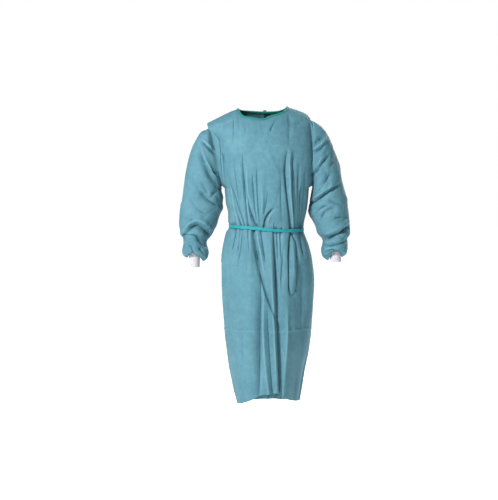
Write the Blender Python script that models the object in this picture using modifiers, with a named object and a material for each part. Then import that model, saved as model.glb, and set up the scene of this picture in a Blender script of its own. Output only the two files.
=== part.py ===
"""Surgical gown in its worn shape: hollow cloth walls, tied at the back of neck and waist.

Metres, +Z up. The front faces -Y and the wearer's left is +X. The origin lies between the
two neck points, where the shoulders carry the gown. The tables below are in millimetres.
"""
from collections import namedtuple

import bmesh
import bpy
import numpy as np

MM = 0.001

# Walls, and the gaps left at the seams
CLOTH = 2.0 * MM
RIB_KNIT = 2.2 * MM
SIDE_SEAM = 0.6 * MM
SHOULDER_SEAM = 1.44 * MM
ARMHOLE_SEAM = 0.54 * MM
NECK_SEAM = 0.9 * MM
LAP = 3.4 * MM

# Heights on the body
HEM = -1.124
WAIST = -0.454
ARMPIT = -0.300
ROLL = -0.170
SHOULDER_DEPTH = 0.010
RIGHT_TIP = -0.221
LEFT_TIP = 0.168

# How far above and below their lines the curves of the hem and of the waist reach
HEM_REACH = 0.110
WAIST_REACH = 0.045

# Armhole: how far it cuts into the side, how far its first stretch of sleeve runs straight,
# and the height of its round bottom
ARMHOLE_TURN = np.radians(26)
ARMHOLE_LIP = 3 * MM
ARMHOLE_BOTTOM = 0.050

# The chest is squarer than an oval. Its depth stays the same at this share of its half width
# while the armholes cut in.
CHEST_FULLNESS = 0.25
FULL_AT = 0.7

# Creases fade out at the side seams, at the shoulders and under the belt
SEAM_FADE = 0.12
SHOULDER_FADE = np.radians(70)
BELT_FADE = 24 * MM
SLEEVE_END_FADE = 1.5
SLEEVE_SIDE_FADE = 0.45

# Tape, binding and ties
TAPE_WIDTH = 12.5 * MM
TAPE_THICK = 1.5 * MM
TAPE_CLEAR = 0.8 * MM
BINDING_WIDTH = 8.0 * MM
BINDING_THICK = 3.2 * MM
BINDING_PROUD = 0.6 * MM
BELT_TIE_LENGTH = 0.240
BELT_TIE_DROP = 2.2 * MM
BELT_TIE_SPREAD = 0.030
BELT_TIE_PINCH = 0.25
NECK_TIE_START = np.radians(1.2)
NECK_TIE_SPREAD = 0.022
TIE_TRIM = 1 * MM
TIE_SINK = 4 * MM

# Knots, width by depth by height in millimetres, the place of the belt's from side to side, and
# how far their middles stand off as a share of their depth
BELT_KNOT = (26, 14, 20)
NECK_KNOT = (15, 9, 10)
KNOT_X = 0.004
BELT_KNOT_SEAT = 0.445
NECK_KNOT_SEAT = 0.5

# Half of the overlap at centre back, as a share of a quarter girth, and the start and length of
# the ramps on which the upper panel and a tape over it stand off
LAP_AT_NECK = 0.10
LAP_AT_HEM = 0.36
LAP_RAMP = (0.22, 0.18)
TAPE_RAMP = (0.20, 0.16)

# The side seams leave half of their gap beside the middle of the side
QUARTER_GIRTH = 0.26
SIDE_EDGE = 1 - SIDE_SEAM / QUARTER_GIRTH

# Grid sizes
FRONT_COLUMNS = (10, 8, 6, 8)
LEFT_BACK_COLUMNS = (5, 4)
RIGHT_BACK_COLUMNS = (6, 3)
LAP_COLUMNS = 7
SLEEVE_ROWS = 22
CUFF_COLUMNS = 20

Section = namedtuple("Section", "height right left front back")
SECTIONS = [
    Section(-1124, -106, 134, 176, 166),
    Section(-1078, -123, 142, 175, 165),
    Section(-1009, -137, 152, 172, 163),
    Section(-916, -151, 169, 167, 159),
    Section(-824, -160, 179, 162, 155),
    Section(-732, -167, 185, 156, 150),
    Section(-662, -170, 188, 150, 145),
    Section(-570, -170, 179, 138, 132),
    Section(-524, -164, 168, 128, 121),
    Section(-477, -152, 152, 117, 108),
    Section(-454, -139, 146, 112, 102),
    Section(-431, -144, 148, 115, 103),
    Section(-397, -144, 156, 122, 105),
    Section(-362, -152, 162, 128, 107),
    Section(-308, -157, 166, 134, 109),
    Section(-250, -165, 169, 137, 112),
    Section(-181, -171, 176, 133, 114),
    Section(-131, -173, 175, 133, 114),
    Section(-112, -186, 175, 133, 114),
    Section(-92, -202, 174, 133, 114),
    Section(-70, -218, 172, 133, 114),
    Section(-50, -221, 169, 133, 114),
    Section(-35, -221, 167, 133, 114),
]

Line = namedtuple("Line", "x height")
SHOULDER_LINE = [
    Line(-221, -50), Line(-175, -27), Line(-129, -5), Line(-111, 1), Line(-60, 10),
    Line(0, 14), Line(50, 13), Line(89, 8), Line(110, 2), Line(139, -8), Line(160, -19),
    Line(172, -34),
]
FRONT_NECKLINE = [
    Line(-111, 1), Line(-95, -31), Line(-81, -37), Line(-62, -36), Line(-43, -40),
    Line(-22, -46), Line(-3, -46), Line(11, -36), Line(28, -27), Line(53, -23),
    Line(73, -17), Line(85, 0), Line(89, 8),
]
BACK_NECKLINE = [
    Line(-111, 1), Line(-95, -5), Line(-50, -10), Line(0, -12), Line(45, -9), Line(75, -1),
    Line(89, 8),
]
FRONT_HEM = [
    Line(-106, -1128), Line(-60, -1104), Line(-29, -1084), Line(-13, -1078), Line(17, -1075),
    Line(54, -1071), Line(66, -1090), Line(94, -1102), Line(134, -1120),
]
BACK_HEM = [Line(-106, -1128), Line(-40, -1137), Line(60, -1137), Line(134, -1120)]
FRONT_WAIST = [
    Line(-139, -447), Line(-45, -452), Line(-2, -457), Line(81, -463), Line(146, -460),
]
BACK_WAIST = [Line(-139, -447), Line(0, -450), Line(146, -460)]

# Guide lines, which columns of the front follow so that its main creases stay clean
Guide = namedtuple("Guide", "height first middle last")
GUIDES = [
    Guide(-1126, -58, 58, 104), Guide(-978, -52, 51, 104), Guide(-758, -32, 40, 96),
    Guide(-620, -26, 35, 88), Guide(-562, -35, 32, 90), Guide(-454, -43, 29, 96),
    Guide(-400, -56, 20, 88), Guide(-300, -74, 8, 80), Guide(-220, -86, 0, 77),
    Guide(-170, -94, -4, 80), Guide(0, -111, -11, 89),
]

# Creases, seen from the front: three points, then width, depth (less than 0 is a ridge),
# a raised lip beside it (more than 0 is on the side of +X), and its share at both ends
Crease = namedtuple("Crease", "x1 z1 x2 z2 x3 z3 width depth lip head tail")
FRONT_CREASES = [
    Crease(-156, -231, -126, -346, -112, -434, 16, 9, 0.2, 0.1, 1.0),
    Crease(-90, -177, -80, -290, -62, -400, 15, 5, 0.0, 0.1, 0.2),
    Crease(-67, -354, -55, -410, -43, -452, 12, 9, 0.0, 0.1, 1.0),
    Crease(36, -340, 26, -400, 24, -452, 15, 8, 0.0, 0.1, 1.0),
    Crease(80, -169, 77, -242, 96, -452, 12, 13, 0.5, 0.2, 1.0),
    Crease(128, -300, 124, -380, 122, -452, 15, 7, 0.0, 0.1, 1.0),
    Crease(-117, -454, -122, -500, -124, -560, 14, 9, 0.0, 1.0, 0.1),
    Crease(-43, -454, -35, -562, -24, -678, 12, 14, 0.3, 1.0, 0.1),
    Crease(29, -454, 39, -731, 58, -1126, 13, 22, 0.3, 0.7, 1.0),
    Crease(96, -454, 89, -589, 92, -690, 12, 14, 0.4, 1.0, 0.1),
    Crease(128, -500, 132, -560, 134, -640, 15, 6, 0.0, 0.1, 0.1),
    Crease(-108, -589, -106, -850, -92, -1126, 18, -8, 0.0, 0.1, 1.0),
    Crease(-32, -758, -52, -978, -58, -1126, 22, 15, 0.0, 0.1, 1.0),
    Crease(-4, -880, 6, -990, 16, -1126, 16, -7, 0.0, 0.1, 1.0),
    Crease(72, -740, 80, -960, 84, -1126, 14, -7, 0.0, 0.1, 1.0),
    Crease(97, -730, 104, -930, 104, -1126, 15, 9, 0.0, 0.1, 1.0),
]
BACK_CREASES = [
    Crease(-118, -270, -104, -360, -98, -450, 18, 8, 0.0, 0.1, 1.0),
    Crease(-48, -250, -44, -350, -42, -450, 20, 7, 0.0, 0.1, 1.0),
    Crease(60, -230, 54, -350, 52, -450, 20, 8, 0.0, 0.1, 1.0),
    Crease(122, -290, 112, -370, 106, -450, 18, 7, 0.0, 0.1, 1.0),
    Crease(-100, -450, -116, -700, -92, -1128, 22, 15, 0.0, 1.0, 1.0),
    Crease(-42, -450, -50, -560, -48, -660, 20, 9, 0.0, 1.0, 0.1),
    Crease(60, -450, 74, -760, 60, -1126, 24, 13, 0.0, 1.0, 1.0),
    Crease(112, -450, 128, -560, 132, -660, 18, 9, 0.0, 1.0, 0.1),
    Crease(-50, -760, -44, -950, -34, -1126, 24, 11, 0.0, 0.1, 1.0),
    Crease(14, -680, 16, -900, 14, -1126, 24, 9, 0.0, 0.1, 1.0),
    Crease(140, -740, 130, -950, 108, -1126, 20, 9, 0.0, 0.1, 1.0),
]

# Sleeve rings, from the armhole to the seam of the cuff: the outer and inner point as seen
# from the front, the depth of the middle, the half depths, and how far front and back rise
Ring = namedtuple("Ring", "outer_x outer_z inner_x inner_z middle front back lift")
RIGHT_SLEEVE = [
    Ring(-222, -70, -168, -293, -2, 60, 58, 0),
    Ring(-248, -86, -169, -297, 0, 68, 66, 0),
    Ring(-275, -131, -168, -306, 2, 76, 76, 0),
    Ring(-298, -191, -165, -320, 5, 80, 82, 0),
    Ring(-312, -261, -162, -337, 8, 82, 84, 0),
    Ring(-320, -331, -164, -358, 10, 80, 84, 0),
    Ring(-327, -366, -163, -377, 11, 78, 82, 0),
    Ring(-331, -397, -173, -399, 11, 77, 80, 0),
    Ring(-333, -437, -186, -437, 8, 76, 77, 0),
    Ring(-331, -475, -203, -475, 2, 74, 74, 0),
    Ring(-317, -494, -226, -508, -4, 62, 62, 2),
    Ring(-316, -512, -222, -527, -8, 58, 58, 0),
    Ring(-321, -539, -217, -549, -11, 56, 56, 2),
    Ring(-317, -558, -222, -568, -14, 51, 50, 8),
    Ring(-302, -568, -239, -581, -16, 41, 41, 16),
    Ring(-297, -561, -247, -568, -17, 33, 33, 8),
    Ring(-294.6, -548, -251.0, -548, -18, 28.0, 28.0, 0),
]
LEFT_SLEEVE = [
    Ring(182, -42, 178, -292, -2, 60, 58, 0),
    Ring(218, -68, 179, -297, 0, 68, 66, 0),
    Ring(236, -92, 178, -306, 2, 76, 76, 0),
    Ring(256, -131, 175, -320, 5, 80, 82, 0),
    Ring(271, -173, 172, -334, 8, 82, 84, 0),
    Ring(286, -216, 170, -348, 10, 81, 84, 0),
    Ring(293, -260, 168, -362, 11, 80, 83, 0),
    Ring(303, -300, 166, -376, 12, 78, 82, 0),
    Ring(316, -343, 164.5, -391, 12, 77, 80, 0),
    Ring(321, -400, 171, -412, 10, 76, 78, 0),
    Ring(324, -435, 187, -437, 7, 75, 76, 0),
    Ring(326, -473, 199, -474, 2, 73, 73, 0),
    Ring(316, -501, 219, -502, -5, 60, 60, 4),
    Ring(316, -527, 213, -535, -10, 57, 56, 2),
    Ring(311, -553, 216, -558, -14, 52, 51, 10),
    Ring(293, -566, 239, -578, -16, 41, 41, 26),
    Ring(292, -558, 246, -564, -17, 33, 33, 16),
    Ring(290.6, -544, 247.0, -544, -18, 28.0, 28.0, 0),
]
RIGHT_SLEEVE_CREASES = [
    Crease(-207, -97, -193, -149, -176, -177, 9, 6, 0.0, 0.2, 0.2),
    Crease(-251, -118, -212, -150, -180, -180, 9, 7, 0.5, 0.2, 0.3),
    Crease(-260, -143, -241, -208, -188, -279, 11, 11, -0.4, 0.2, 0.2),
    Crease(-274, -281, -246, -318, -194, -362, 11, 10, 0.4, 0.1, 0.3),
    Crease(-236, -230, -215, -236, -185, -246, 9, 4, 0.0, 0.2, 0.2),
    Crease(-317, -483, -256, -448, -214, -478, 12, 15, -0.3, 0.8, 0.8),
    Crease(-312, -500, -278, -484, -232, -518, 9, 8, 0.0, 0.5, 0.8),
]
LEFT_SLEEVE_CREASES = [
    Crease(182, -140, 204, -124, 222, -108, 9, 7, 0.4, 0.3, 0.2),
    Crease(184, -160, 220, -137, 234, -96, 9, 8, 0.4, 0.2, 0.2),
    Crease(182, -244, 210, -212, 248, -176, 11, 10, 0.4, 0.2, 0.2),
    Crease(180, -352, 232, -327, 285, -285, 11, 12, 0.5, 0.3, 0.2),
    Crease(217, -339, 252, -352, 308, -376, 11, 5, 0.0, 0.1, 0.3),
    Crease(204, -420, 230, -388, 270, -376, 11, 9, 0.3, 0.3, 0.1),
    Crease(232, -494, 284, -470, 323, -448, 11, 13, 0.3, 0.8, 0.8),
    Crease(222, -503, 262, -514, 312, -502, 9, 8, 0.0, 0.6, 0.6),
]
BACK_SLEEVE_CREASES = [
    Crease(205, -120, 232, -180, 262, -228, 12, 7, 0.0, 0.2, 0.2),
    Crease(190, -225, 226, -262, 276, -278, 12, 8, 0.3, 0.2, 0.2),
    Crease(186, -340, 232, -330, 300, -318, 12, 11, 0.4, 0.3, 0.3),
    Crease(196, -385, 240, -372, 306, -372, 12, 8, 0.0, 0.2, 0.3),
    Crease(214, -480, 262, -452, 318, -478, 12, 12, 0.3, 0.7, 0.7),
]

# Knitted cuffs: middle, half width and half depth of the tube at each height
Cuff = namedtuple("Cuff", "height middle_x half_width middle_y half_depth")
RIGHT_CUFF = [
    Cuff(-603, -273.6, 21.4, -21, 27.5), Cuff(-588, -273.2, 20.8, -20, 27.0),
    Cuff(-566, -272.8, 21.0, -19, 27.2), Cuff(-548, -272.8, 21.2, -18, 27.4),
    Cuff(-536, -272.8, 21.2, -18, 27.4),
]
LEFT_CUFF = [
    Cuff(-583, 269.6, 21.4, -21, 27.5), Cuff(-572, 269.2, 20.8, -20, 27.0),
    Cuff(-558, 268.8, 21.0, -19, 27.2), Cuff(-544, 268.8, 21.2, -18, 27.4),
    Cuff(-532, 268.8, 21.2, -18, 27.4),
]


def column(table, name):
    """One named column of a table, in metres."""
    return np.array([getattr(row, name) for row in table], dtype=float) * MM


def flow(at, knots, values):
    """Smooth curve through the knots that never swings past them; values may hold points."""
    at = np.asarray(at, dtype=float)
    lanes = (1,) * (values.ndim - 1)
    step = np.diff(knots).reshape((-1,) + lanes)
    secant = np.diff(values, axis=0) / step
    before, after = secant[:-1], secant[1:]
    agree = before * after > 0
    total = np.where(agree, before + after, 1.0)
    inner = np.where(agree, 2 * before * after / total, 0.0)
    slope = np.concatenate([secant[:1], inner, secant[-1:]])
    left = np.clip(np.searchsorted(knots, at) - 1, 0, len(knots) - 2)
    t = np.clip((at - knots[left]) / (knots[left + 1] - knots[left]), 0, 1)
    t = t.reshape(at.shape + lanes)
    span = (knots[left + 1] - knots[left]).reshape(at.shape + lanes)
    start = (2 * t + 1) * (1 - t) ** 2 * values[left] + t * (1 - t) ** 2 * span * slope[left]
    end = (3 - 2 * t) * t ** 2 * values[left + 1] - (1 - t) * t ** 2 * span * slope[left + 1]
    return start + end


def line_height(table, x):
    """Height of a sewn line above the place x."""
    return flow(x, column(table, "x"), column(table, "height"))


def smooth_step(value):
    """Eased ramp from 0 to 1."""
    value = np.clip(value, 0, 1)
    return value * value * (3 - 2 * value)


def unit(vectors):
    """Vectors of length one."""
    return vectors / np.linalg.norm(vectors, axis=-1, keepdims=True)


def grid_normals(grid):
    """Normals of a grid of points, along its columns crossed with along its rows."""
    along_rows, along_columns = np.gradient(grid, axis=(0, 1))
    return unit(np.cross(along_columns, along_rows))


def body_rows():
    """Height, roll angle and armhole reach of every row, from the hem to the neck."""
    skirt = np.linspace(HEM, WAIST - 0.055, 13)
    waist = WAIST + np.array([-34, -18, -6.25, 6.25, 20, 36]) * MM
    bodice = np.linspace(WAIST + 0.060, ARMPIT - 0.022, 4)
    turn = np.radians([0, 28, 52, 72, 90])
    armhole = ARMPIT + ARMHOLE_BOTTOM * (1 - np.cos(turn))
    chest = np.array([-0.210, ROLL])
    rolled = np.radians(np.linspace(78, 0, 7))
    height = np.concatenate([skirt, waist, bodice, armhole, chest, np.full(rolled.size, ROLL)])
    roll = np.full(height.size, np.pi / 2)
    roll[-rolled.size:] = rolled
    reach = np.full(height.size, np.pi / 2)
    first = skirt.size + waist.size + bodice.size
    reach[first:first + turn.size] -= ARMHOLE_TURN * np.sin(turn)
    reach[first + turn.size:] -= ARMHOLE_TURN
    return height[:, None], roll[:, None], reach[:, None]


def body_width(height, roll, reach):
    """Middle of each row from side to side, and the half width that its oval would have."""
    edges = []
    for name, tip in (("right", RIGHT_TIP), ("left", LEFT_TIP)):
        top = line_height(SHOULDER_LINE, np.array(tip))
        fallen = np.where(roll < np.pi / 2, top - (top - ROLL) * (1 - np.cos(roll)), height)
        edges.append(flow(fallen, column(SECTIONS, "height"), column(SECTIONS, name)))
    right, left = edges
    return (right + left) / 2, (left - right) / 2 / np.sin(reach)


def across_at(x, height, roll, reach):
    """Share of a quarter girth at which a row passes the place x."""
    middle, reach_x = body_width(height, roll, reach)
    return np.arcsin((x - middle) / reach_x) / reach


def chest_power(reach):
    """Power of the oval's cosine that keeps the depth at FULL_AT whatever the reach."""
    kept = (1 - FULL_AT ** 2) ** ((1 - CHEST_FULLNESS) / 2)
    return 2 * np.log(kept) / np.log(1 - (FULL_AT * np.sin(reach)) ** 2)


def body_shape(side, across, height, roll, reach):
    """Plain form of the body: an oval section that rolls over the shoulder at its top.

    side is -1 at the front and 1 at the back; across runs from -1 to 1 between the seams.
    """
    middle, reach_x = body_width(height, roll, reach)
    knots = column(SECTIONS, "height")
    deep = flow(height, knots, column(SECTIONS, "front" if side < 0 else "back"))
    turn = across * reach
    x = middle + reach_x * np.sin(turn)
    rising = smooth_step((height - WAIST) / (ARMPIT - WAIST))
    y = side * deep * np.cos(turn) ** (1 - rising * (1 - chest_power(reach)))
    hem, waist, neck = (
        (FRONT_HEM, FRONT_WAIST, FRONT_NECKLINE) if side < 0
        else (BACK_HEM, BACK_WAIST, BACK_NECKLINE)
    )
    low = np.exp(-((height - HEM) / HEM_REACH) ** 2)
    mid = np.exp(-((height - WAIST) / WAIST_REACH) ** 2)
    z = height + (line_height(hem, x) - HEM) * low + (line_height(waist, x) - WAIST) * mid
    top = line_height(SHOULDER_LINE, x)
    cut = np.clip(top - line_height(neck, x), 0, None)
    cut = np.where((x > neck[0].x * MM) & (x < neck[-1].x * MM), cut, 0)
    start = np.arccos(1 - cut / (top - ROLL))
    angle = start + (np.pi / 2 - start) * roll / (np.pi / 2)
    rolled = roll < np.pi / 2
    z = np.where(rolled, top - (top - ROLL) * (1 - np.cos(angle)), z)
    seam = SHOULDER_DEPTH + side * SHOULDER_SEAM / 2
    y = np.where(rolled, seam + (y - seam) * np.sin(angle), y)
    return np.stack([x, y, z], axis=-1)


def crease_depth(points, table):
    """How far the cloth moves out at each point under all the creases of a table."""
    x, z = points[..., 0], points[..., 2]
    moved = np.zeros(x.shape)
    for crease in table:
        path = np.array([crease.x1, crease.z1, crease.x2, crease.z2, crease.x3, crease.z3])
        path = path.reshape(3, 2) * MM
        lengths = np.linalg.norm(np.diff(path, axis=0), axis=1)
        nearest = np.full(x.shape, np.inf)
        off = np.zeros(x.shape)
        along = np.zeros(x.shape)
        passed = 0.0
        for start, end, length in zip(path[:-1], path[1:], lengths):
            way = (end - start) / length
            reached = np.clip((x - start[0]) * way[0] + (z - start[1]) * way[1], 0, length)
            dx = x - start[0] - way[0] * reached
            dz = z - start[1] - way[1] * reached
            gap = np.hypot(dx, dz)
            closer = gap < nearest
            nearest = np.where(closer, gap, nearest)
            off = np.where(closer, gap * np.sign(way[0] * dz - way[1] * dx), off)
            along = np.where(closer, (passed + reached) / lengths.sum(), along)
            passed += length
        share = np.interp(along, [0, 0.3, 0.75, 1], [crease.head, 1, 1, crease.tail])
        width = crease.width * MM
        trough = np.exp(-(off / width) ** 2)
        beside = np.exp(-((off - 1.8 * width * np.sign(crease.lip)) / width) ** 2)
        moved -= crease.depth * MM * share * (trough - abs(crease.lip) * beside)
    return moved


def material(name, colour, roughness):
    """Plain fabric colour for a piece."""
    made = bpy.data.materials.new(name)
    made.use_nodes = True
    shader = made.node_tree.nodes["Principled BSDF"]
    shader.inputs["Base Color"].default_value = (*colour, 1)
    shader.inputs["Roughness"].default_value = roughness
    shader.inputs["Metallic"].default_value = 0
    return made


def cloth(name, grid, fabric, thick=CLOTH, ring=False, flip=False, grow=-1):
    """Cloth wall over a grid of points: its columns close into a ring where ring is set."""
    rows, columns = grid.shape[:2]
    index = np.arange(rows * columns).reshape(rows, columns)
    if ring:
        index = np.concatenate([index, index[:, :1]], axis=1)
    faces = np.stack([index[:-1, :-1], index[:-1, 1:], index[1:, 1:], index[1:, :-1]], axis=-1)
    if flip:
        faces = faces[..., ::-1]
    mesh = bpy.data.meshes.new(name)
    mesh.from_pydata(grid.reshape(-1, 3).tolist(), [], faces.reshape(-1, 4).tolist())
    mesh.shade_smooth()
    made = bpy.data.objects.new(name, mesh)
    mesh.materials.append(fabric)
    gown.objects.link(made)
    wall = made.modifiers.new("Cloth wall", "SOLIDIFY")
    wall.thickness = thick
    wall.offset = grow
    return made


def body_panel(side, across, lift=0.0):
    """Grid of a body panel with its creases, moved out by lift where it laps over."""
    points = body_shape(side, across, *body_rows())
    normal = grid_normals(points)
    normal *= side * np.sign(np.sum(normal[..., 1]))
    moved = crease_depth(points, FRONT_CREASES if side < 0 else BACK_CREASES)
    near_belt = 1 - np.exp(-((body_rows()[0] - WAIST) / BELT_FADE) ** 2)
    moved = np.where(moved > 0, moved * near_belt, moved)
    fade = smooth_step((1 - np.abs(across)) / SEAM_FADE)
    top_fade = smooth_step(body_rows()[1] / SHOULDER_FADE)
    return points + normal * (moved * fade * top_fade + lift)[..., None]


def spread(stops, counts):
    """Even columns between the stops of each row, with a count of steps for each stretch."""
    runs = [start + (end - start) * np.arange(count) / count
            for start, end, count in zip(stops[:-1], stops[1:], counts)]
    return np.concatenate([*runs, stops[-1]], axis=1)


def guide(name):
    """Share of a quarter girth at which a guide line crosses each row."""
    height, roll, reach = body_rows()
    nominal = np.where(roll < np.pi / 2, ROLL * roll / (np.pi / 2), height)
    x = flow(nominal, column(GUIDES, "height"), column(GUIDES, name))
    return across_at(x, height, roll, reach)


def lap_share():
    """Half of the back overlap at every row, as a share of a quarter girth."""
    height = body_rows()[0]
    return np.interp(height, [HEM, ROLL], [LAP_AT_HEM, LAP_AT_NECK])


def over_lift(across, lap):
    """How far the upper back panel stands off where it laps over the lower one."""
    start, length = LAP_RAMP
    return LAP * smooth_step((lap + start - across) / length)


def tape_lift(across, lap):
    """How far a tape stands off at the back, where it crosses the overlap."""
    start, length = TAPE_RAMP
    return over_lift(across, lap) * smooth_step((across + lap + start) / length)


def armhole_edge(hand):
    """Points, ways out of the cloth and turns of the sleeve all round one armhole.

    It starts at the shoulder corner, runs down the front, through the armpit, and up the
    back. hand is 1 on the wearer's left.
    """
    height, roll, reach = body_rows()
    first = int(np.argmax(reach[:, 0] < np.pi / 2)) - 1
    rows = slice(first, None)
    points, normals = [], []
    for side in (-1, 1):
        across = hand * np.array([[0.98, 1.0]])
        strip = body_shape(side, across, height[rows], roll[rows], reach[rows])
        outward = grid_normals(strip)[:, 1]
        outward *= np.sign(np.sum(outward * (strip[:, 1] - [0, 0, ARMPIT]), axis=1))[:, None]
        points.append(strip[:, 1])
        normals.append(outward)
    loop = np.concatenate([points[0][::-1], points[1][1:-1]])
    outward = np.concatenate([normals[0][::-1], normals[1][1:-1]])
    closed = np.concatenate([loop, loop[:1]])
    half = len(points[0]) - 1
    run = np.concatenate([[0], np.cumsum(np.linalg.norm(np.diff(closed, axis=0), axis=1))])
    turn = np.interp(run, [0, run[half], run[-1]], [0, np.pi, 2 * np.pi])[:-1]
    along = unit(np.roll(loop, -1, axis=0) - np.roll(loop, 1, axis=0))
    away = unit(np.cross(outward, along))
    away *= np.sign(np.sum(away * (loop.mean(axis=0) - loop), axis=1))[:, None]
    return loop, away, turn


def sleeve_grid(hand, rings, creases):
    """Sleeve from the armhole to the cuff, bloused over the cuff and creased."""
    edge, away, turn = armhole_edge(hand)
    outer = np.stack([column(rings, "outer_x"), column(rings, "outer_z")], axis=-1)[:, None]
    inner = np.stack([column(rings, "inner_x"), column(rings, "inner_z")], axis=-1)[:, None]
    flat = (outer + inner) / 2 + (outer - inner) / 2 * np.cos(turn)[:, None]
    bend = np.sin(turn)
    front = column(rings, "front")[:, None]
    back = column(rings, "back")[:, None]
    y = column(rings, "middle")[:, None] - np.where(bend > 0, front, back) * bend
    z = flat[..., 1] + column(rings, "lift")[:, None] * bend ** 2
    table = np.stack([flat[..., 0], y, z], axis=-1)
    lips = np.stack([edge + away * ARMHOLE_SEAM, edge + away * (ARMHOLE_SEAM + ARMHOLE_LIP)])
    control = np.concatenate([lips, table])
    last = len(control) - 1.0
    at = np.concatenate([[0], np.linspace(1, last, SLEEVE_ROWS)])
    points = flow(at, np.arange(len(control), dtype=float), control)
    around = np.concatenate([points[:, -1:], points, points[:, :1]], axis=1)
    normal = grid_normals(around)[:, 1:-1]
    centre = points.mean(axis=1, keepdims=True)
    normal *= np.sign(np.sum(normal * (points - centre)))
    mirrored = [c._replace(x1=hand * c.x1, x2=hand * c.x2, x3=hand * c.x3)
                for c in BACK_SLEEVE_CREASES]
    moved = np.where(bend > 0, crease_depth(points, creases), crease_depth(points, mirrored))
    fade = smooth_step((at - 1) / SLEEVE_END_FADE)
    fade *= smooth_step((last - 2 - at) / SLEEVE_END_FADE)
    side_fade = smooth_step(np.abs(bend) / SLEEVE_SIDE_FADE)
    return points + normal * (moved * fade[:, None] * side_fade)[..., None]


def cuff_grid(table):
    """Knitted tube of the cuff, from its lower end up to the seam."""
    turn = np.linspace(0, 2 * np.pi, CUFF_COLUMNS, endpoint=False)
    x = column(table, "middle_x")[:, None] + column(table, "half_width")[:, None] * np.cos(turn)
    y = column(table, "middle_y")[:, None] + column(table, "half_depth")[:, None] * np.sin(turn)
    z = column(table, "height")[:, None] + 0 * x
    return np.stack([x, y, z], axis=-1)


def neck_loop(front, back):
    """Edge of the neckline all round, with its outward normals and its way into the hole.

    front and back hold the columns of the panels' top row, from neck point to neck point.
    """
    height, roll, reach = (values[-2:] for values in body_rows())
    points, normals = [], []
    for side, across in ((-1, front), (1, back)):
        strip = body_shape(side, across[None], height, roll, reach)
        outward = grid_normals(strip)[-1]
        outward *= np.sign(outward[:, 2:])
        lift = tape_lift(across, LAP_AT_NECK) if side > 0 else 0 * across
        points.append(strip[-1] + outward * lift[:, None])
        normals.append(outward)
    loop = np.concatenate([points[0], points[1][1:-1]])
    outward = np.concatenate([normals[0], normals[1][1:-1]])
    along = unit(np.roll(loop, -1, axis=0) - np.roll(loop, 1, axis=0))
    outward = unit(outward - along * np.sum(outward * along, axis=1, keepdims=True))
    away = unit(np.cross(outward, along))
    away *= np.sign(np.sum(away * (loop.mean(axis=0) - loop), axis=1))[:, None]
    return loop, outward, away


def belt_loop(front, back):
    """Two edges of the waist tape all round, just clear of the panels beneath.

    front and back hold the columns of the panels' rows at the waist.
    """
    height = WAIST + np.array([[-0.5], [0.5]]) * TAPE_WIDTH
    square = np.full((2, 1), np.pi / 2)
    lap = np.interp(WAIST, [HEM, ROLL], [LAP_AT_HEM, LAP_AT_NECK])
    strips = []
    for side, across in ((-1, front), (1, back)):
        strip = body_shape(side, across[None], height, square, square)
        outward = grid_normals(strip)
        outward *= np.sign(outward[..., 1:2] * side)
        lift = tape_lift(across, lap) if side > 0 else 0 * across
        strip = strip + outward * (TAPE_CLEAR + lift)[:, None]
        strips.append(strip)
    return np.concatenate([strips[0], strips[1][:, 1:-1]], axis=1)


def back_strip(across, height, roll, reach, clear):
    """Strip of points that lies on the back panels, standing off them by clear."""
    points = body_shape(1, across, height, roll, reach)
    outward = grid_normals(points)
    outward *= np.sign(outward[..., 1:2])
    moved = np.clip(crease_depth(points, BACK_CREASES), -TIE_SINK, None)
    return points + outward * (moved + LAP + clear)[..., None]


def belt_tie(hand, top):
    """End of the waist tape, hanging from its knot down the back of the skirt."""
    share = np.linspace(0, 1, 9)[:, None]
    raised = line_height(BACK_WAIST, np.array(KNOT_X)) - WAIST
    height = top - raised - share * BELT_TIE_LENGTH
    leaning = hand * (BELT_KNOT[0] / 4 * MM + share * BELT_TIE_SPREAD)
    width = (TAPE_WIDTH - TIE_TRIM) * (1 - BELT_TIE_PINCH * (1 - share))
    x = KNOT_X + leaning + np.array([[0.5, -0.5]]) * width
    square = np.full(height.shape, np.pi / 2)
    across = across_at(x, height, square, square)
    return back_strip(across, height, square, square, TAPE_CLEAR)[::-1]


def neck_tie(hand, first):
    """End of the neck binding, hanging from its knot over the shoulder blades."""
    share = np.linspace(0, 1, 8)[:, None]
    roll = first + share * (np.pi / 2 - first)
    reach = np.full(roll.shape, np.pi / 2 - ARMHOLE_TURN)
    leaning = hand * (NECK_KNOT[0] / 4 * MM + share * NECK_TIE_SPREAD)
    x = leaning + np.array([[0.5, -0.5]]) * (BINDING_WIDTH - TIE_TRIM)
    height = np.full(roll.shape, ROLL)
    across = across_at(x, height, roll, reach)
    return back_strip(across, height, roll, reach, TAPE_CLEAR)[::-1]


def knot(name, place, size, fabric):
    """Rounded knot of tape."""
    block = bmesh.new()
    bmesh.ops.create_cube(block, size=1)
    bmesh.ops.scale(block, vec=size, verts=block.verts)
    mesh = bpy.data.meshes.new(name)
    block.to_mesh(mesh)
    block.free()
    mesh.shade_smooth()
    mesh.materials.append(fabric)
    made = bpy.data.objects.new(name, mesh)
    made.location = place
    gown.objects.link(made)
    rounding = made.modifiers.new("Rounding", "SUBSURF")
    rounding.levels = 2
    rounding.render_levels = 2
    return made


for old in list(bpy.data.objects):
    bpy.data.objects.remove(old)

gown = bpy.data.collections.new("surgical_gown")
bpy.context.scene.collection.children.link(gown)

nonwoven = material("gown_cloth", (0.17, 0.37, 0.46), 0.8)
green_binding = material("neck_binding", (0.02, 0.31, 0.27), 0.7)
turquoise_tape = material("belt_tape", (0.03, 0.46, 0.46), 0.6)
white_knit = material("knit_cuff", (0.80, 0.80, 0.84), 0.9)

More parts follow.
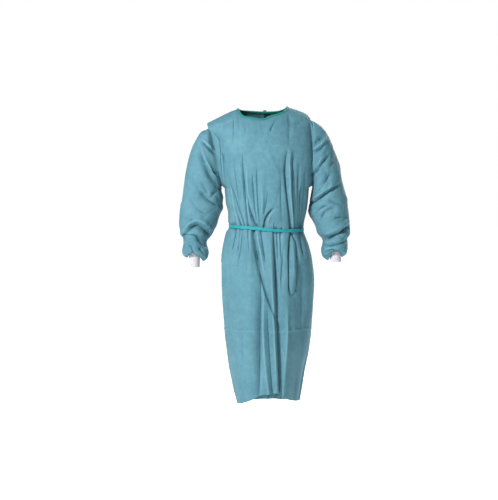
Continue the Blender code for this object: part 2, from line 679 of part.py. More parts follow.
# Front panel
lap = lap_share()
side_seam = np.full(lap.shape, SIDE_EDGE)
guides = [guide(name) for name in ("first", "middle", "last")]
front_across = spread([-side_seam, *guides, side_seam], FRONT_COLUMNS)
cloth("body_front", body_panel(-1, front_across), nonwoven)

# Back panels: the left one laps over the right one
neck_right, neck_left = guides[0][-1, 0], guides[2][-1, 0]
at_neck = (SIDE_EDGE - np.array([neck_left, -neck_right])) / (SIDE_EDGE - LAP_AT_NECK)
left_stop, right_stop = (side_seam + (lap - side_seam) * share for share in at_neck)
left_across = spread([side_seam, left_stop, lap, -lap], [*LEFT_BACK_COLUMNS, LAP_COLUMNS])
right_across = spread([side_seam, right_stop, lap, -lap], [*RIGHT_BACK_COLUMNS, LAP_COLUMNS])
cloth("body_back_left", body_panel(1, left_across, over_lift(left_across, lap)), nonwoven)
cloth("body_back_right", body_panel(1, -right_across), nonwoven, flip=True)

# Sleeves and knitted cuffs
cloth("sleeve_right", sleeve_grid(-1, RIGHT_SLEEVE, RIGHT_SLEEVE_CREASES), nonwoven,
      ring=True, flip=True)
cloth("sleeve_left", sleeve_grid(1, LEFT_SLEEVE, LEFT_SLEEVE_CREASES), nonwoven, ring=True)
cloth("cuff_right", cuff_grid(RIGHT_CUFF), white_knit, RIB_KNIT, ring=True)
cloth("cuff_left", cuff_grid(LEFT_CUFF), white_knit, RIB_KNIT, ring=True)

# Neck binding, folded over both sides of the neckline
back_round = np.concatenate([left_across, -right_across[:, -2 - LAP_COLUMNS::-1]], axis=1)
front_neck = front_across[-1, FRONT_COLUMNS[0]:-FRONT_COLUMNS[-1]]
back_neck = back_round[-1, LEFT_BACK_COLUMNS[0]:-RIGHT_BACK_COLUMNS[0]]
neck, neck_out, neck_in = neck_loop(front_neck, back_neck)
binding_foot = neck + neck_out * BINDING_PROUD + neck_in * NECK_SEAM
cloth("neck_binding", np.stack([binding_foot, binding_foot + neck_in * BINDING_WIDTH]),
      green_binding, BINDING_THICK, ring=True)

# Waist tape
at_waist = np.argmin(np.abs(body_rows()[0][:, 0] - WAIST - TAPE_WIDTH / 2))
belt = belt_loop(front_across[at_waist], back_round[at_waist])
cloth("belt", belt, turquoise_tape, TAPE_THICK, ring=True, grow=1)

# Knots at centre back, with the hanging ends of tape and binding
belt_back = belt[:, np.argmax(belt[0, :, 1] * 4 - np.abs(belt[0, :, 0] - KNOT_X))].mean(axis=0)
belt_stand = TAPE_THICK + BELT_KNOT[1] * MM * BELT_KNOT_SEAT
belt_place = [KNOT_X, belt_back[1] + belt_stand, belt_back[2]]
knot("belt_knot", belt_place, np.array(BELT_KNOT) * MM, turquoise_tape)
nape = np.argmax(neck[:, 1] * 4 - np.abs(neck[:, 0]))
neck_place = neck[nape] + neck_in[nape] * BINDING_WIDTH / 2
neck_stand = BINDING_PROUD + NECK_KNOT[1] * MM * NECK_KNOT_SEAT
neck_place = neck_place + neck_out[nape] * neck_stand
knot("neck_knot", neck_place, np.array(NECK_KNOT) * MM, green_binding)
for side, hand in (("left", 1), ("right", -1)):
    cloth(f"belt_tie_{side}", belt_tie(hand, belt_place[2] - TAPE_WIDTH / 2 - BELT_TIE_DROP),
          turquoise_tape, TAPE_THICK, grow=1)
    cloth(f"neck_tie_{side}", neck_tie(hand, NECK_TIE_START), green_binding,
          BINDING_THICK / 2, grow=1)
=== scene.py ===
"""Surgical gown in its worn shape: thin nonwoven cloth, bound neckline, waist tape, knitted cuffs.

Metres, +Z up. The front faces -Y and the wearer's left is +X. Tables are in millimetres.
"""

from collections import namedtuple

import bpy
import numpy as np
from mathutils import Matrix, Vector


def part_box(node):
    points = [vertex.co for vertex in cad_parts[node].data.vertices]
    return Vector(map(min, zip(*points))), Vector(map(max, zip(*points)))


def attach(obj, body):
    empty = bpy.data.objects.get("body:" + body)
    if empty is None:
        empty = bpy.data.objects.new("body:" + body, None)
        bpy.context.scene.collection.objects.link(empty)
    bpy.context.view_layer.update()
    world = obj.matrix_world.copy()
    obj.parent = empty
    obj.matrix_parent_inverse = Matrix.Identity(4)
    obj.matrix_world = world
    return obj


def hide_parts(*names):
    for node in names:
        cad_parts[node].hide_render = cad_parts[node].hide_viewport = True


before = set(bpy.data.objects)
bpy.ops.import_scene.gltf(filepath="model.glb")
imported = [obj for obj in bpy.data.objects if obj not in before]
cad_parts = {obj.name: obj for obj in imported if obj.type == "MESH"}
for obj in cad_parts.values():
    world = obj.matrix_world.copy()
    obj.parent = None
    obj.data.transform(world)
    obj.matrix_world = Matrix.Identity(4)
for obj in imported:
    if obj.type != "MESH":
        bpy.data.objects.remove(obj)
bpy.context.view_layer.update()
MM = 0.001

# Camera, floor and light
# Seen from 6 m off at chest height, over a plain white floor. The key light stands high on the
# left of the picture, a weak one on the right and a soft one behind.
CAMERA_X = -0.0635
CAMERA_AWAY = 6.0
CAMERA_HEIGHT = -0.30
AIM_HEIGHT = -0.539
LENS = 112.3
SENSOR = 36
camera = bpy.data.objects.new("camera", bpy.data.cameras.new("camera"))
camera.data.lens = LENS
camera.data.sensor_width = SENSOR
camera.location = (CAMERA_X, -CAMERA_AWAY, CAMERA_HEIGHT)
aim = Vector((CAMERA_X, 0, AIM_HEIGHT)) - camera.location
camera.rotation_euler = aim.to_track_quat("-Z", "Y").to_euler()
bpy.context.scene.collection.objects.link(camera)
bpy.context.scene.camera = camera

FLOOR = -1.50
HALF_FLOOR = 40.0
WHITE = (1, 1, 1, 1)
ground = bpy.data.meshes.new("floor")
ground.from_pydata([(x * HALF_FLOOR, y * HALF_FLOOR, FLOOR)
                    for x, y in ((-1, -1), (1, -1), (1, 1), (-1, 1))], [], [(0, 1, 2, 3)])
floor = bpy.data.objects.new("floor", ground)
paint = bpy.data.materials.new("floor_paint")
paint.use_nodes = True
paper = paint.node_tree.nodes["Principled BSDF"]
paper.inputs["Base Color"].default_value = (0.9, 0.9, 0.9, 1)
paper.inputs["Roughness"].default_value = 0.9
paper.inputs["Emission Color"].default_value = WHITE
paper.inputs["Emission Strength"].default_value = 0.88
ground.materials.append(paint)
bpy.context.scene.collection.objects.link(floor)


GOWN_MIDDLE = -0.5


def soft_light(name, place, size, power, colour=WHITE[:3]):
    """Square area light at a place, turned towards the middle of the gown."""
    lamp = bpy.data.lights.new(name, "AREA")
    lamp.size = size
    lamp.energy = power
    lamp.color = colour
    made = bpy.data.objects.new(name, lamp)
    made.location = place
    turned = Vector((0, 0, GOWN_MIDDLE)) - made.location
    made.rotation_euler = turned.to_track_quat("-Z", "Y").to_euler()
    bpy.context.scene.collection.objects.link(made)


soft_light("key_light", (-2.85, -3.65, 2.4), 0.6, 690, (1, 0.95, 0.95))
soft_light("fill_light", (2.4, -4.0, 2.0), 1.6, 30)
soft_light("back_light", (2.3, 3.6, 1.8), 2.0, 260)

# The surround lights the gown dimly and coolly, and looks plain white from the camera
world = bpy.data.worlds.new("studio")
world.use_nodes = True
sky = world.node_tree.nodes
glow = sky["Background"]
glow.inputs["Color"].default_value = (0.62, 0.94, 1, 1)
glow.inputs["Strength"].default_value = 0.31
seen = sky.new("ShaderNodeBackground")
seen.inputs["Color"].default_value = WHITE
either = sky.new("ShaderNodeMixShader")
rays = sky.new("ShaderNodeLightPath")
for start, end in ((rays.outputs["Is Camera Ray"], either.inputs[0]),
                   (glow.outputs[0], either.inputs[1]),
                   (seen.outputs[0], either.inputs[2]),
                   (either.outputs[0], sky["World Output"].inputs[0])):
    world.node_tree.links.new(start, end)
bpy.context.scene.world = world
bpy.context.scene.view_settings.view_transform = "Standard"

# Gown cloth
# Spun and meltblown nonwoven in three layers, dyed blue-green. It is bonded at rows of small
# oval points, its fibres lie every way, and it has been folded flat in a pack.


class Shade:
    """A socket in a material's node tree. Plus, minus and times on it add Math nodes."""

    def __init__(self, tree, socket=None):
        self.tree = tree
        self.socket = socket

    def node(self, kind, settings=None, sockets=None, out=0):
        """Any node: its type, its settings, then values or links for its sockets."""
        made = self.tree.nodes.new(kind)
        for name, value in (settings or {}).items():
            if name == "stops":
                for place, colour in value:
                    stop = (made.color_ramp.elements.new(place) if 0 < place < 1
                            else made.color_ramp.elements[int(place)])
                    stop.color = colour
            else:
                setattr(made, name, value)
        for name, value in (sockets or {}).items():
            if isinstance(value, Shade):
                self.tree.links.new(value.socket, made.inputs[name])
            else:
                made.inputs[name].default_value = value
        return Shade(self.tree, made.outputs[out])

    def maths(self, operation, other):
        return self.node("ShaderNodeMath", {"operation": operation}, {0: self, 1: other})

    def __add__(self, other):
        return self.maths("ADD", other)

    __radd__ = __add__

    def __mul__(self, other):
        return self.maths("MULTIPLY", other)

    __rmul__ = __mul__

    def __sub__(self, other):
        return self.maths("SUBTRACT", other)

    def __rsub__(self, other):
        return (self * -1.0) + other

    def step(self, low, high):
        """0 below low, 1 above high, and an eased ramp between them."""
        return self.node("ShaderNodeMapRange", {"interpolation_type": "SMOOTHSTEP"},
                         {"Value": self, "From Min": low, "From Max": high})

    def blend(self, first, second):
        """Colour that goes from first to second as this value goes from 0 to 1."""
        return self.node("ShaderNodeMix", {"data_type": "RGBA"},
                         {"Factor": self, 6: first, 7: second}, out=2)


CLOTH_SPECULAR = 0.2


def finish(name, colour, roughness, sheen):
    """New material: its shader, a start for its nodes, and its fixed finish."""
    made = bpy.data.materials.new(name)
    made.use_nodes = True
    shader = made.node_tree.nodes["Principled BSDF"]
    shader.inputs["Base Color"].default_value = (*colour, 1)
    shader.inputs["Roughness"].default_value = roughness
    shader.inputs["Sheen Weight"].default_value = sheen
    shader.inputs["Sheen Roughness"].default_value = 0.5
    shader.inputs["Specular IOR Level"].default_value = CLOTH_SPECULAR
    return made, shader, Shade(made.node_tree)


def dress(shader, colour, roughness=None, height=None, distance=None, strength=None):
    """Links a colour, a roughness and a relief to a shader; distance is the relief of height 1."""
    colour.tree.links.new(colour.socket, shader.inputs["Base Color"])
    if roughness:
        roughness.tree.links.new(roughness.socket, shader.inputs["Roughness"])
    if height:
        bump = height.node("ShaderNodeBump", {}, {
            "Height": height, "Distance": distance, "Strength": strength})
        height.tree.links.new(bump.socket, shader.inputs["Normal"])


# Dyed cloth between its darkest and palest clouds, then painted shade in tight hollows and a
# painted highlight on tight ridges
CLOTH_LIGHT = (0.060, 0.148, 0.180)
CLOTH_DARK = (0.033, 0.100, 0.128)
PAINTED_CREASE_SHADE = (0.004, 0.045, 0.070)
PAINTED_RIDGE_HIGHLIGHT = (0.085, 0.190, 0.225)

CREASE_SHADE_SHARE = 0.85
RIDGE_HIGHLIGHT_SHARE = 0.50
gown_cloth, cloth_shader, start = finish("gown_cloth", CLOTH_LIGHT, 0.75, 0.02)
place = start.node("ShaderNodeTexCoord", out="Object")
on_cloth = start.node("ShaderNodeUVMap", {"uv_map": "cloth_metres"})
fibre_grain = start.node("ShaderNodeTexNoise", {}, {
    "Vector": on_cloth, "Scale": 900.0, "Detail": 3.0, "Roughness": 0.65})
fibre_clouds = start.node("ShaderNodeTexNoise", {}, {
    "Vector": place, "Scale": 60.0, "Detail": 5.0, "Roughness": 0.7})
dye_clouds = start.node("ShaderNodeTexNoise", {}, {
    "Vector": place, "Scale": 9.0, "Detail": 3.0, "Roughness": 0.6})
bond_cells = start.node("ShaderNodeTexVoronoi", {"voronoi_dimensions": "2D"}, {
    "Vector": on_cloth, "Scale": 700.0, "Randomness": 0.15})
bond_points = 1.0 - bond_cells.step(0.22, 0.42)
crumple_lines = start.node("ShaderNodeTexVoronoi", {"feature": "DISTANCE_TO_EDGE"}, {
    "Vector": start.node("ShaderNodeVectorMath", {"operation": "ADD"}, {
        0: place, 1: start.node("ShaderNodeVectorMath", {"operation": "SCALE"}, {
            0: start.node("ShaderNodeTexNoise", {}, {
                "Vector": place, "Scale": 22.0, "Detail": 2.0}, out="Color"),
            "Scale": 0.035})}),
    "Scale": 26.0})
crumple = crumple_lines.step(0.0, 0.10)
mottle = dye_clouds * 0.45 + fibre_clouds * 0.45 + fibre_grain * 0.30 - 0.10
bend = start.node("ShaderNodeAttribute", {"attribute_name": "bend"}, out="Fac")
cloth_colour = mottle.step(0.3, 0.75).blend((*CLOTH_DARK, 1), (*CLOTH_LIGHT, 1))
# Painted shade darkens the cloth where the bend attribute marks a tight hollow, and a painted
# highlight pales it on a tight ridge
cloth_colour = (bend.step(0.06, 0.75) * CREASE_SHADE_SHARE).blend(cloth_colour, (*PAINTED_CREASE_SHADE, 1))
cloth_colour = ((bend * -1.0).step(0.06, 0.80) * RIDGE_HIGHLIGHT_SHARE).blend(
    cloth_colour, (*PAINTED_RIDGE_HIGHLIGHT, 1))
cloth_relief = fibre_grain * 0.10 + fibre_clouds * 0.30 - bond_points * 0.06 + crumple * 0.36
dress(cloth_shader, cloth_colour, fibre_clouds * 0.2 + 0.68, cloth_relief, 1 * MM, 0.8)

# Front panel
# One piece of the cloth from the hem to both shoulders. It hangs plain from the chest, is drawn
# in by the waist tape and falls in deep folds below it, with faint marks where it was packed.
HEM = -1.124
WAIST = -0.454
ARMPIT = -0.300
ROLL = -0.170
SHOULDER_DEPTH = 0.010
ARMHOLE_TURN = np.radians(26)
ARMHOLE_BOTTOM = 0.050
CHEST_FULLNESS = 0.25
FULL_AT = 0.7
FABRIC = 0.7 * MM
TIGHT_BEND = 260.0
SIDE_GIRTH = 0.26
SEAM_DIP = 0.8 * MM
SEAM_DIP_WIDTH = 2.6 * MM
PUCKER_DEPTH = 0.45 * MM
PUCKER_PITCH = 5.2 * MM
PUCKER_REACH = 7 * MM
WAVE_DEPTH = 1.8 * MM
WRINKLES = 90
WRINKLE_DEPTH = 1.7 * MM
WRINKLE_LENGTH = 0.110
BELT_REACH = 20 * MM

Section = namedtuple("Section", "height right left front back")
SECTIONS = [
    Section(-1124, -106, 134, 176, 166),
    Section(-1078, -123, 142, 175, 165),
    Section(-1009, -137, 152, 172, 163),
    Section(-916, -151, 169, 167, 159),
    Section(-824, -160, 179, 162, 155),
    Section(-732, -167, 185, 156, 150),
    Section(-662, -170, 188, 150, 145),
    Section(-570, -170, 179, 138, 132),
    Section(-524, -164, 168, 128, 121),
    Section(-477, -152, 152, 117, 108),
    Section(-454, -139, 146, 112, 102),
    Section(-431, -144, 148, 115, 103),
    Section(-397, -144, 156, 122, 105),
    Section(-362, -152, 162, 128, 107),
    Section(-308, -157, 166, 134, 109),
    Section(-250, -165, 169, 137, 112),
    Section(-181, -171, 176, 133, 114),
    Section(-131, -173, 175, 133, 114),
    Section(-112, -186, 175, 133, 114),
    Section(-92, -202, 174, 133, 114),
    Section(-70, -218, 172, 133, 114),
    Section(-50, -221, 169, 133, 114),
    Section(-35, -221, 167, 133, 114),
]

Line = namedtuple("Line", "x height")
SHOULDER_LINE = [
    Line(-221, -50), Line(-175, -27), Line(-129, -5), Line(-111, 1), Line(-60, 10),
    Line(0, 14), Line(50, 13), Line(89, 8), Line(110, 2), Line(139, -8), Line(160, -19),
    Line(172, -34),
]
FRONT_NECKLINE = [
    Line(-111, 1), Line(-95, -27), Line(-81, -34), Line(-62, -37), Line(-43, -41),
    Line(-22, -45), Line(-3, -44), Line(11, -37), Line(28, -29), Line(53, -22),
    Line(73, -13), Line(85, 1), Line(89, 8),
]
BACK_NECKLINE = [
    Line(-111, 1), Line(-95, -5), Line(-50, -10), Line(0, -12), Line(45, -9), Line(75, -1),
    Line(89, 8),
]
FRONT_HEM = [
    Line(-106, -1128), Line(-60, -1104), Line(-29, -1084), Line(-13, -1078), Line(17, -1075),
    Line(54, -1071), Line(66, -1090), Line(94, -1102), Line(134, -1120),
]
BACK_HEM = [Line(-106, -1128), Line(-40, -1137), Line(60, -1137), Line(134, -1120)]
FRONT_WAIST = [
    Line(-139, -447), Line(-45, -452), Line(-2, -457), Line(81, -463), Line(146, -460),
]
BACK_WAIST = [Line(-139, -447), Line(0, -450), Line(146, -460)]

# Folds, seen from the front: three points of the line, the half widths on the side of -X and
# of +X, the depth (less than 0 is a ridge), and the share of it at both ends
Fold = namedtuple("Fold", "x1 z1 x2 z2 x3 z3 right left depth head tail")
CHEST_FOLDS = [Fold(*row) for row in (
    (-168, -175, -142, -290, -116, -442, 8, 5, 15, 0.4, 1),
    (-156, -200, -132, -308, -106, -442, 7, 6, -7, 0.3, 0.8),
    (-146, -237, -122, -346, -98, -443, 4, 7, 9, 0.2, 1),
    (-134, -293, -110, -366, -84, -443, 4, 6, 8, 0.2, 1),
    (-121, -180, -112, -290, -96, -400, 5, 9, 4, 0.2, 0.4),
    (-90, -177, -84, -290, -70, -447, 4, 9, 9, 0.3, 0.8),
    (-74, -200, -70, -300, -58, -400, 7, 7, -4, 0.1, 0.3),
    (-70, -330, -60, -400, -36, -447, 4, 8, 16, 0.2, 1),
    (-52, -240, -48, -320, -38, -420, 5, 10, 6, 0.2, 0.5),
    (-34, -220, -34, -310, -26, -430, 5, 12, 6, 0.1, 0.5),
    (-8, -240, -14, -330, -14, -430, 9, 8, -4, 0.1, 0.3),
    (42, -372, 6, -402, -8, -447, 3, 7, 13, 0.3, 1),
    (50, -364, 18, -398, 6, -440, 5, 6, -4, 0.1, 0.5),
    (6, -300, 2, -350, -14, -420, 7, 8, 3, 0.1, 0.2),
    (80, -160, 76, -262, 96, -447, 5, 5, 13, 0.15, 1),
    (92, -166, 90, -270, 103, -447, 5, 5, -8, 0.3, 0.8),
    (104, -165, 104, -289, 112, -447, 3, 7, 9, 0.15, 0.9),
    (124, -200, 124, -300, 126, -440, 5, 7, 5, 0.1, 0.7),
    (136, -290, 134, -377, 136, -447, 4, 8, 9, 0.1, 1),
    (150, -240, 147, -350, 142, -440, 6, 6, 6, 0.1, 0.6),
    (60, -230, 56, -320, 60, -430, 7, 10, 4, 0.1, 0.4),
    (37, -48, 25, -65, 15, -89, 3, 6, 7, 0.7, 0.1),
    (-75, -42, -79, -65, -73, -100, 6, 4, 1.8, 0.6, 0.1),
    (-37, -46, -33, -69, -37, -104, 7, 6, 1.4, 0.6, 0.1),
    (-6, -46, -12, -77, -6, -116, 8, 7, 1.4, 0.6, 0.1),
    (-103, -14, -103, -77, -105, -150, 5, 9, 2.8, 0.5, 0.1),
    (-125, -12, -123, -77, -127, -146, 6, 6, 2.5, 0.3, 0.1),
    (87, -8, 90, -69, 87, -139, 5, 7, 4, 0.4, 0.1),
    (-202, -69, -160, -62, -114, -42, 9, 6, 4, 0.4, 0.1),
    (144, -42, 121, -54, 87, -54, 8, 6, 4, 0.4, 0.1),
    (-120, -160, -60, -215, -8, -235, 12, 10, 3, 0.1, 0.1),
    (130, -150, 80, -225, 20, -260, 12, 10, 3, 0.1, 0.1),
)]
SKIRT_FOLDS = [Fold(*row) for row in (
    (-118, -458, -122, -493, -132, -539, 5, 7, 7, 1, 0.1),
    (-101, -458, -103, -500, -112, -560, 4, 6, 5, 1, 0.1),
    (-92, -458, -96, -512, -112, -620, 5, 8, 6, 0.8, 0.1),
    (-70, -458, -67, -493, -62, -547, 4, 6, 5, 1, 0.1),
    (-50, -458, -42, -520, -28, -600, 4, 8, 17, 1, 0.6),
    (-36, -540, -16, -650, 46, -815, 5, 10, 14, 0.5, 0.1),
    (-62, -470, -60, -539, -56, -640, 9, 8, -5, 0.8, 0.1),
    (-20, -458, -14, -500, -2, -580, 4, 6, 6, 1, 0.1),
    (-34, -470, -22, -540, -8, -620, 6, 6, -4, 0.5, 0.2),
    (29, -458, 42, -735, 58, -1097, 4, 17, 20, 0.4, 1),
    (15, -500, 24, -693, 42, -1086, 8, 7, -7, 0.3, 0.8),
    (40, -458, 44, -500, 46, -580, 5, 7, 6, 1, 0.1),
    (58, -458, 56, -498, 60, -570, 5, 7, 7, 1, 0.1),
    (66, -520, 62, -600, 58, -690, 5, 8, 6, 0.2, 0.1),
    (96, -458, 88, -560, 90, -680, 3, 6, 12, 1, 0.5),
    (97, -458, 104, -478, 116, -500, 4, 4, 9, 1, 0.3),
    (104, -510, 106, -590, 107, -670, 7, 8, -7, 0.3, 0.1),
    (89, -660, 100, -704, 119, -686, 5, 5, 7, 0.4, 0.4),
    (115, -500, 124, -600, 121, -688, 4, 7, 8, 0.4, 0.5),
    (130, -458, 136, -500, 150, -570, 5, 7, 6, 1, 0.1),
    (-108, -500, -106, -789, -98, -1128, 16, 10, -4, 0.2, 1),
    (-140, -600, -138, -830, -118, -1128, 9, 12, 3, 0.1, 0.6),
    (-20, -640, -25, -847, -36, -1124, 20, 7, 24, 0.2, 1),
    (-9, -712, -10, -870, 12, -1090, 8, 8, -7, 0.2, 0.8),
    (4, -760, 14, -930, 27, -1093, 6, 10, 6, 0.3, 1),
    (-90, -700, -92, -880, -88, -1116, 16, 12, 4, 0.1, 0.8),
    (83, -720, 78, -897, 66, -1101, 8, 10, -9, 0.1, 0.8),
    (142, -560, 144, -880, 118, -1124, 42, 20, 19, 0.1, 1),
    (136, -700, 150, -840, 128, -1124, 12, 12, -5, 0.1, 0.8),
)]
PACKING_MARKS = [Fold(*row) for row in (
    (-171, -144, -2, -139, 167, -146, 5, 5, -1.6, 0.6, 0.6),
    (-169, -595, -133, -593, -87, -595, 5, 5, 1.4, 0.8, 0.1),
    (98, -594, 137, -593, 183, -596, 5, 5, 1.2, 0.1, 0.8),
    (-164, -839, -13, -841, 179, -838, 4, 4, -2.4, 0.7, 1),
)]

# Lines that the columns of the front follow, so that its main folds stay clean
Guide = namedtuple("Guide", "height first middle last")
GUIDES = [
    Guide(-1126, -58, 58, 104), Guide(-978, -52, 51, 104), Guide(-758, -32, 40, 96),
    Guide(-620, -26, 35, 88), Guide(-562, -35, 32, 90), Guide(-454, -43, 29, 96),
    Guide(-400, -56, 20, 88), Guide(-300, -74, 8, 80), Guide(-220, -86, 0, 77),
    Guide(-170, -94, -4, 80), Guide(0, -111, -11, 89),
]


def column(table, name):
    """One named column of a table, in metres."""
    return np.array([getattr(row, name) for row in table], dtype=float) * MM


def flow(at, knots, values):
    """Smooth curve through the knots that never swings past them; values may hold points.

    Each stretch is a cubic whose end slopes are the harmonic mean of the slopes beside it.
    """
    at = np.asarray(at, dtype=float)
    lanes = (1,) * (values.ndim - 1)
    secant = np.diff(values, axis=0) / np.diff(knots).reshape((-1,) + lanes)
    before, after = secant[:-1], secant[1:]
    agree = before * after > 0
    total = np.where(agree, before + after, 1.0)
    inner = np.where(agree, 2 * before * after / total, 0.0)
    slope = np.concatenate([secant[:1], inner, secant[-1:]])
    left = np.clip(np.searchsorted(knots, at) - 1, 0, len(knots) - 2)
    t = np.clip((at - knots[left]) / (knots[left + 1] - knots[left]), 0, 1)
    t = t.reshape(at.shape + lanes)
    span = (knots[left + 1] - knots[left]).reshape(at.shape + lanes)
    start = (2 * t + 1) * (1 - t) ** 2 * values[left] + t * (1 - t) ** 2 * span * slope[left]
    end = (3 - 2 * t) * t ** 2 * values[left + 1] - (1 - t) * t ** 2 * span * slope[left + 1]
    return start + end


def line_height(table, x):
    """Height of a sewn line above the place x."""
    return flow(x, column(table, "x"), column(table, "height"))


def smooth_step(value):
    """Eased ramp from 0 to 1: three times its square less twice its cube."""
    value = np.clip(value, 0, 1)
    return value * value * (3 - 2 * value)


def unit(vectors):
    """Vectors of length one."""
    return vectors / np.linalg.norm(vectors, axis=-1, keepdims=True)


def grid_normals(grid):
    """Normals of a grid of points: along its columns crossed with along its rows."""
    along_rows, along_columns = np.gradient(grid, axis=(0, 1))
    return unit(np.cross(along_columns, along_rows))


def body_rows():
    """Height, roll angle and armhole reach of every row, from the hem to the neck."""
    skirt = np.linspace(HEM, WAIST - 0.055, 132)
    waist = np.linspace(WAIST - 0.051, WAIST + 0.051, 31)
    bodice = np.linspace(WAIST + 0.056, ARMPIT - 0.004, 24)
    turn = np.linspace(0, np.pi / 2, 22)
    armhole = ARMPIT + ARMHOLE_BOTTOM * (1 - np.cos(turn))
    chest = np.linspace(ARMPIT + ARMHOLE_BOTTOM + 0.005, ROLL, 15)
    rolled = np.radians(np.linspace(88, 0, 38))
    height = np.concatenate([skirt, waist, bodice, armhole, chest, np.full(rolled.size, ROLL)])
    roll = np.full(height.size, np.pi / 2)
    roll[-rolled.size:] = rolled
    reach = np.full(height.size, np.pi / 2)
    first = skirt.size + waist.size + bodice.size
    reach[first:first + turn.size] -= ARMHOLE_TURN * np.sin(turn)
    reach[first + turn.size:] -= ARMHOLE_TURN
    return height[:, None], roll[:, None], reach[:, None]


def body_width(height, roll, reach):
    """Middle of each row from side to side, and the half width that its oval would have."""
    edges = []
    for name, tip in (("right", -0.221), ("left", 0.168)):
        top = line_height(SHOULDER_LINE, np.array(tip))
        fallen = np.where(roll < np.pi / 2, top - (top - ROLL) * (1 - np.cos(roll)), height)
        edges.append(flow(fallen, column(SECTIONS, "height"), column(SECTIONS, name)))
    right, left = edges
    return (right + left) / 2, (left - right) / 2 / np.sin(reach)


def across_at(x, height, roll, reach):
    """Share of a quarter girth at which a row passes the place x."""
    middle, reach_x = body_width(height, roll, reach)
    return np.arcsin((x - middle) / reach_x) / reach


def chest_power(reach):
    """Power of the oval's cosine that keeps the depth at FULL_AT whatever the reach."""
    kept = (1 - FULL_AT ** 2) ** ((1 - CHEST_FULLNESS) / 2)
    return 2 * np.log(kept) / np.log(1 - (FULL_AT * np.sin(reach)) ** 2)


def body_shape(side, across, height, roll, reach):
    """Plain form of the body: an oval section that rolls over the shoulder at its top.

    side is -1 at the front and 1 at the back; across runs from -1 to 1 between the seams.
    x is the half width times the sine of the turn, y the depth times a power of its cosine.
    """
    middle, reach_x = body_width(height, roll, reach)
    knots = column(SECTIONS, "height")
    deep = flow(height, knots, column(SECTIONS, "front" if side < 0 else "back"))
    turn = across * reach
    x = middle + reach_x * np.sin(turn)
    rising = smooth_step((height - WAIST) / (ARMPIT - WAIST))
    y = side * deep * np.clip(np.cos(turn), 0, 1) ** (1 - rising * (1 - chest_power(reach)))
    hem, waist, neck = (
        (FRONT_HEM, FRONT_WAIST, FRONT_NECKLINE) if side < 0
        else (BACK_HEM, BACK_WAIST, BACK_NECKLINE)
    )
    low = np.exp(-((height - HEM) / 0.110) ** 2)
    mid = np.exp(-((height - WAIST) / 0.045) ** 2)
    z = height + (line_height(hem, x) - HEM) * low + (line_height(waist, x) - WAIST) * mid
    top = line_height(SHOULDER_LINE, x)
    cut = np.clip(top - line_height(neck, x), 0, None)
    cut = np.where((x > neck[0].x * MM) & (x < neck[-1].x * MM), cut, 0)
    start = np.arccos(1 - cut / (top - ROLL))
    angle = start + (np.pi / 2 - start) * roll / (np.pi / 2)
    rolled = roll < np.pi / 2
    z = np.where(rolled, top - (top - ROLL) * (1 - np.cos(angle)), z)
    seam = SHOULDER_DEPTH + side * 0.1 * MM
    y = np.where(rolled, seam + (y - seam) * np.sin(angle), y)
    return np.stack([x, y, z], axis=-1)


def fold_height(points, table):
    """How far the cloth moves out at each point under all the folds of a table.

    A fold is a soft trough or ridge across a curve through its three points. Its depth falls
    off as an exponential of the distance, and swells a little along the line.
    """
    x, z = points[..., 0], points[..., 2]
    moved = np.zeros(x.shape)
    for number, fold in enumerate(table):
        path = np.array([fold.x1, fold.z1, fold.x2, fold.z2, fold.x3, fold.z3]).reshape(3, 2) * MM
        t = np.linspace(0, 1, 8)[:, None]
        bend = 2 * path[1] - (path[0] + path[2]) / 2
        path = (1 - t) ** 2 * path[0] + 2 * t * (1 - t) * bend + t ** 2 * path[2]
        lengths = np.linalg.norm(np.diff(path, axis=0), axis=1)
        nearest = np.full(x.shape, np.inf)
        off = np.zeros(x.shape)
        along = np.zeros(x.shape)
        passed = 0.0
        for start, end, length in zip(path[:-1], path[1:], lengths):
            way = (end - start) / length
            reached = np.clip((x - start[0]) * way[0] + (z - start[1]) * way[1], 0, length)
            dx = x - start[0] - way[0] * reached
            dz = z - start[1] - way[1] * reached
            gap = np.hypot(dx, dz)
            closer = gap < nearest
            nearest = np.where(closer, gap, nearest)
            off = np.where(closer, gap * np.sign(way[0] * dz - way[1] * dx), off)
            along = np.where(closer, (passed + reached) / lengths.sum(), along)
            passed += length
        share = np.interp(along, [0, 0.3, 0.75, 1], [fold.head, 1, 1, fold.tail])
        share = share * (1 + 0.16 * np.sin(9 * along + 2.1 * number))
        width = np.where(off < 0, fold.right, fold.left) * MM
        width = width * (1 + 0.15 * np.sin(7 * along + 1.3 * number))
        crisp = 1.3 if fold.depth > 0 else 2.0
        moved -= fold.depth * MM * share * np.exp(-np.abs(off / width) ** crisp)
    return moved


def small_wrinkles(metres, seed, depth, longest, fall=0.0):
    """Short soft wrinkles scattered over a panel, from a seeded list.

    Each is a bell across its own short line; fall from 0 to 1 turns the lines upright.
    """
    dice = np.random.default_rng(seed)
    low, high = metres.reshape(-1, 2).min(axis=0), metres.reshape(-1, 2).max(axis=0)
    moved = np.zeros(metres.shape[:-1])
    for _ in range(WRINKLES):
        centre = low + (high - low) * dice.random(2)
        angle = np.pi / 2 + (dice.random() - 0.5) * np.pi * (1 - 0.75 * fall)
        way = np.array([np.cos(angle), np.sin(angle)])
        length = longest * (0.3 + 0.7 * dice.random())
        width = (0.03 + 0.05 * dice.random()) * length + 3.0 * MM
        size = depth * (0.3 + 0.7 * dice.random()) * (1 if dice.random() < 0.45 else -1)
        gone = metres - centre
        along = gone @ way
        across = gone @ np.array([-way[1], way[0]]) + 6 * along ** 2 * (dice.random() - 0.5)
        moved += size * np.exp(-np.abs(across / width) ** 1.2 - (along / length * 1.6) ** 4)
    return moved


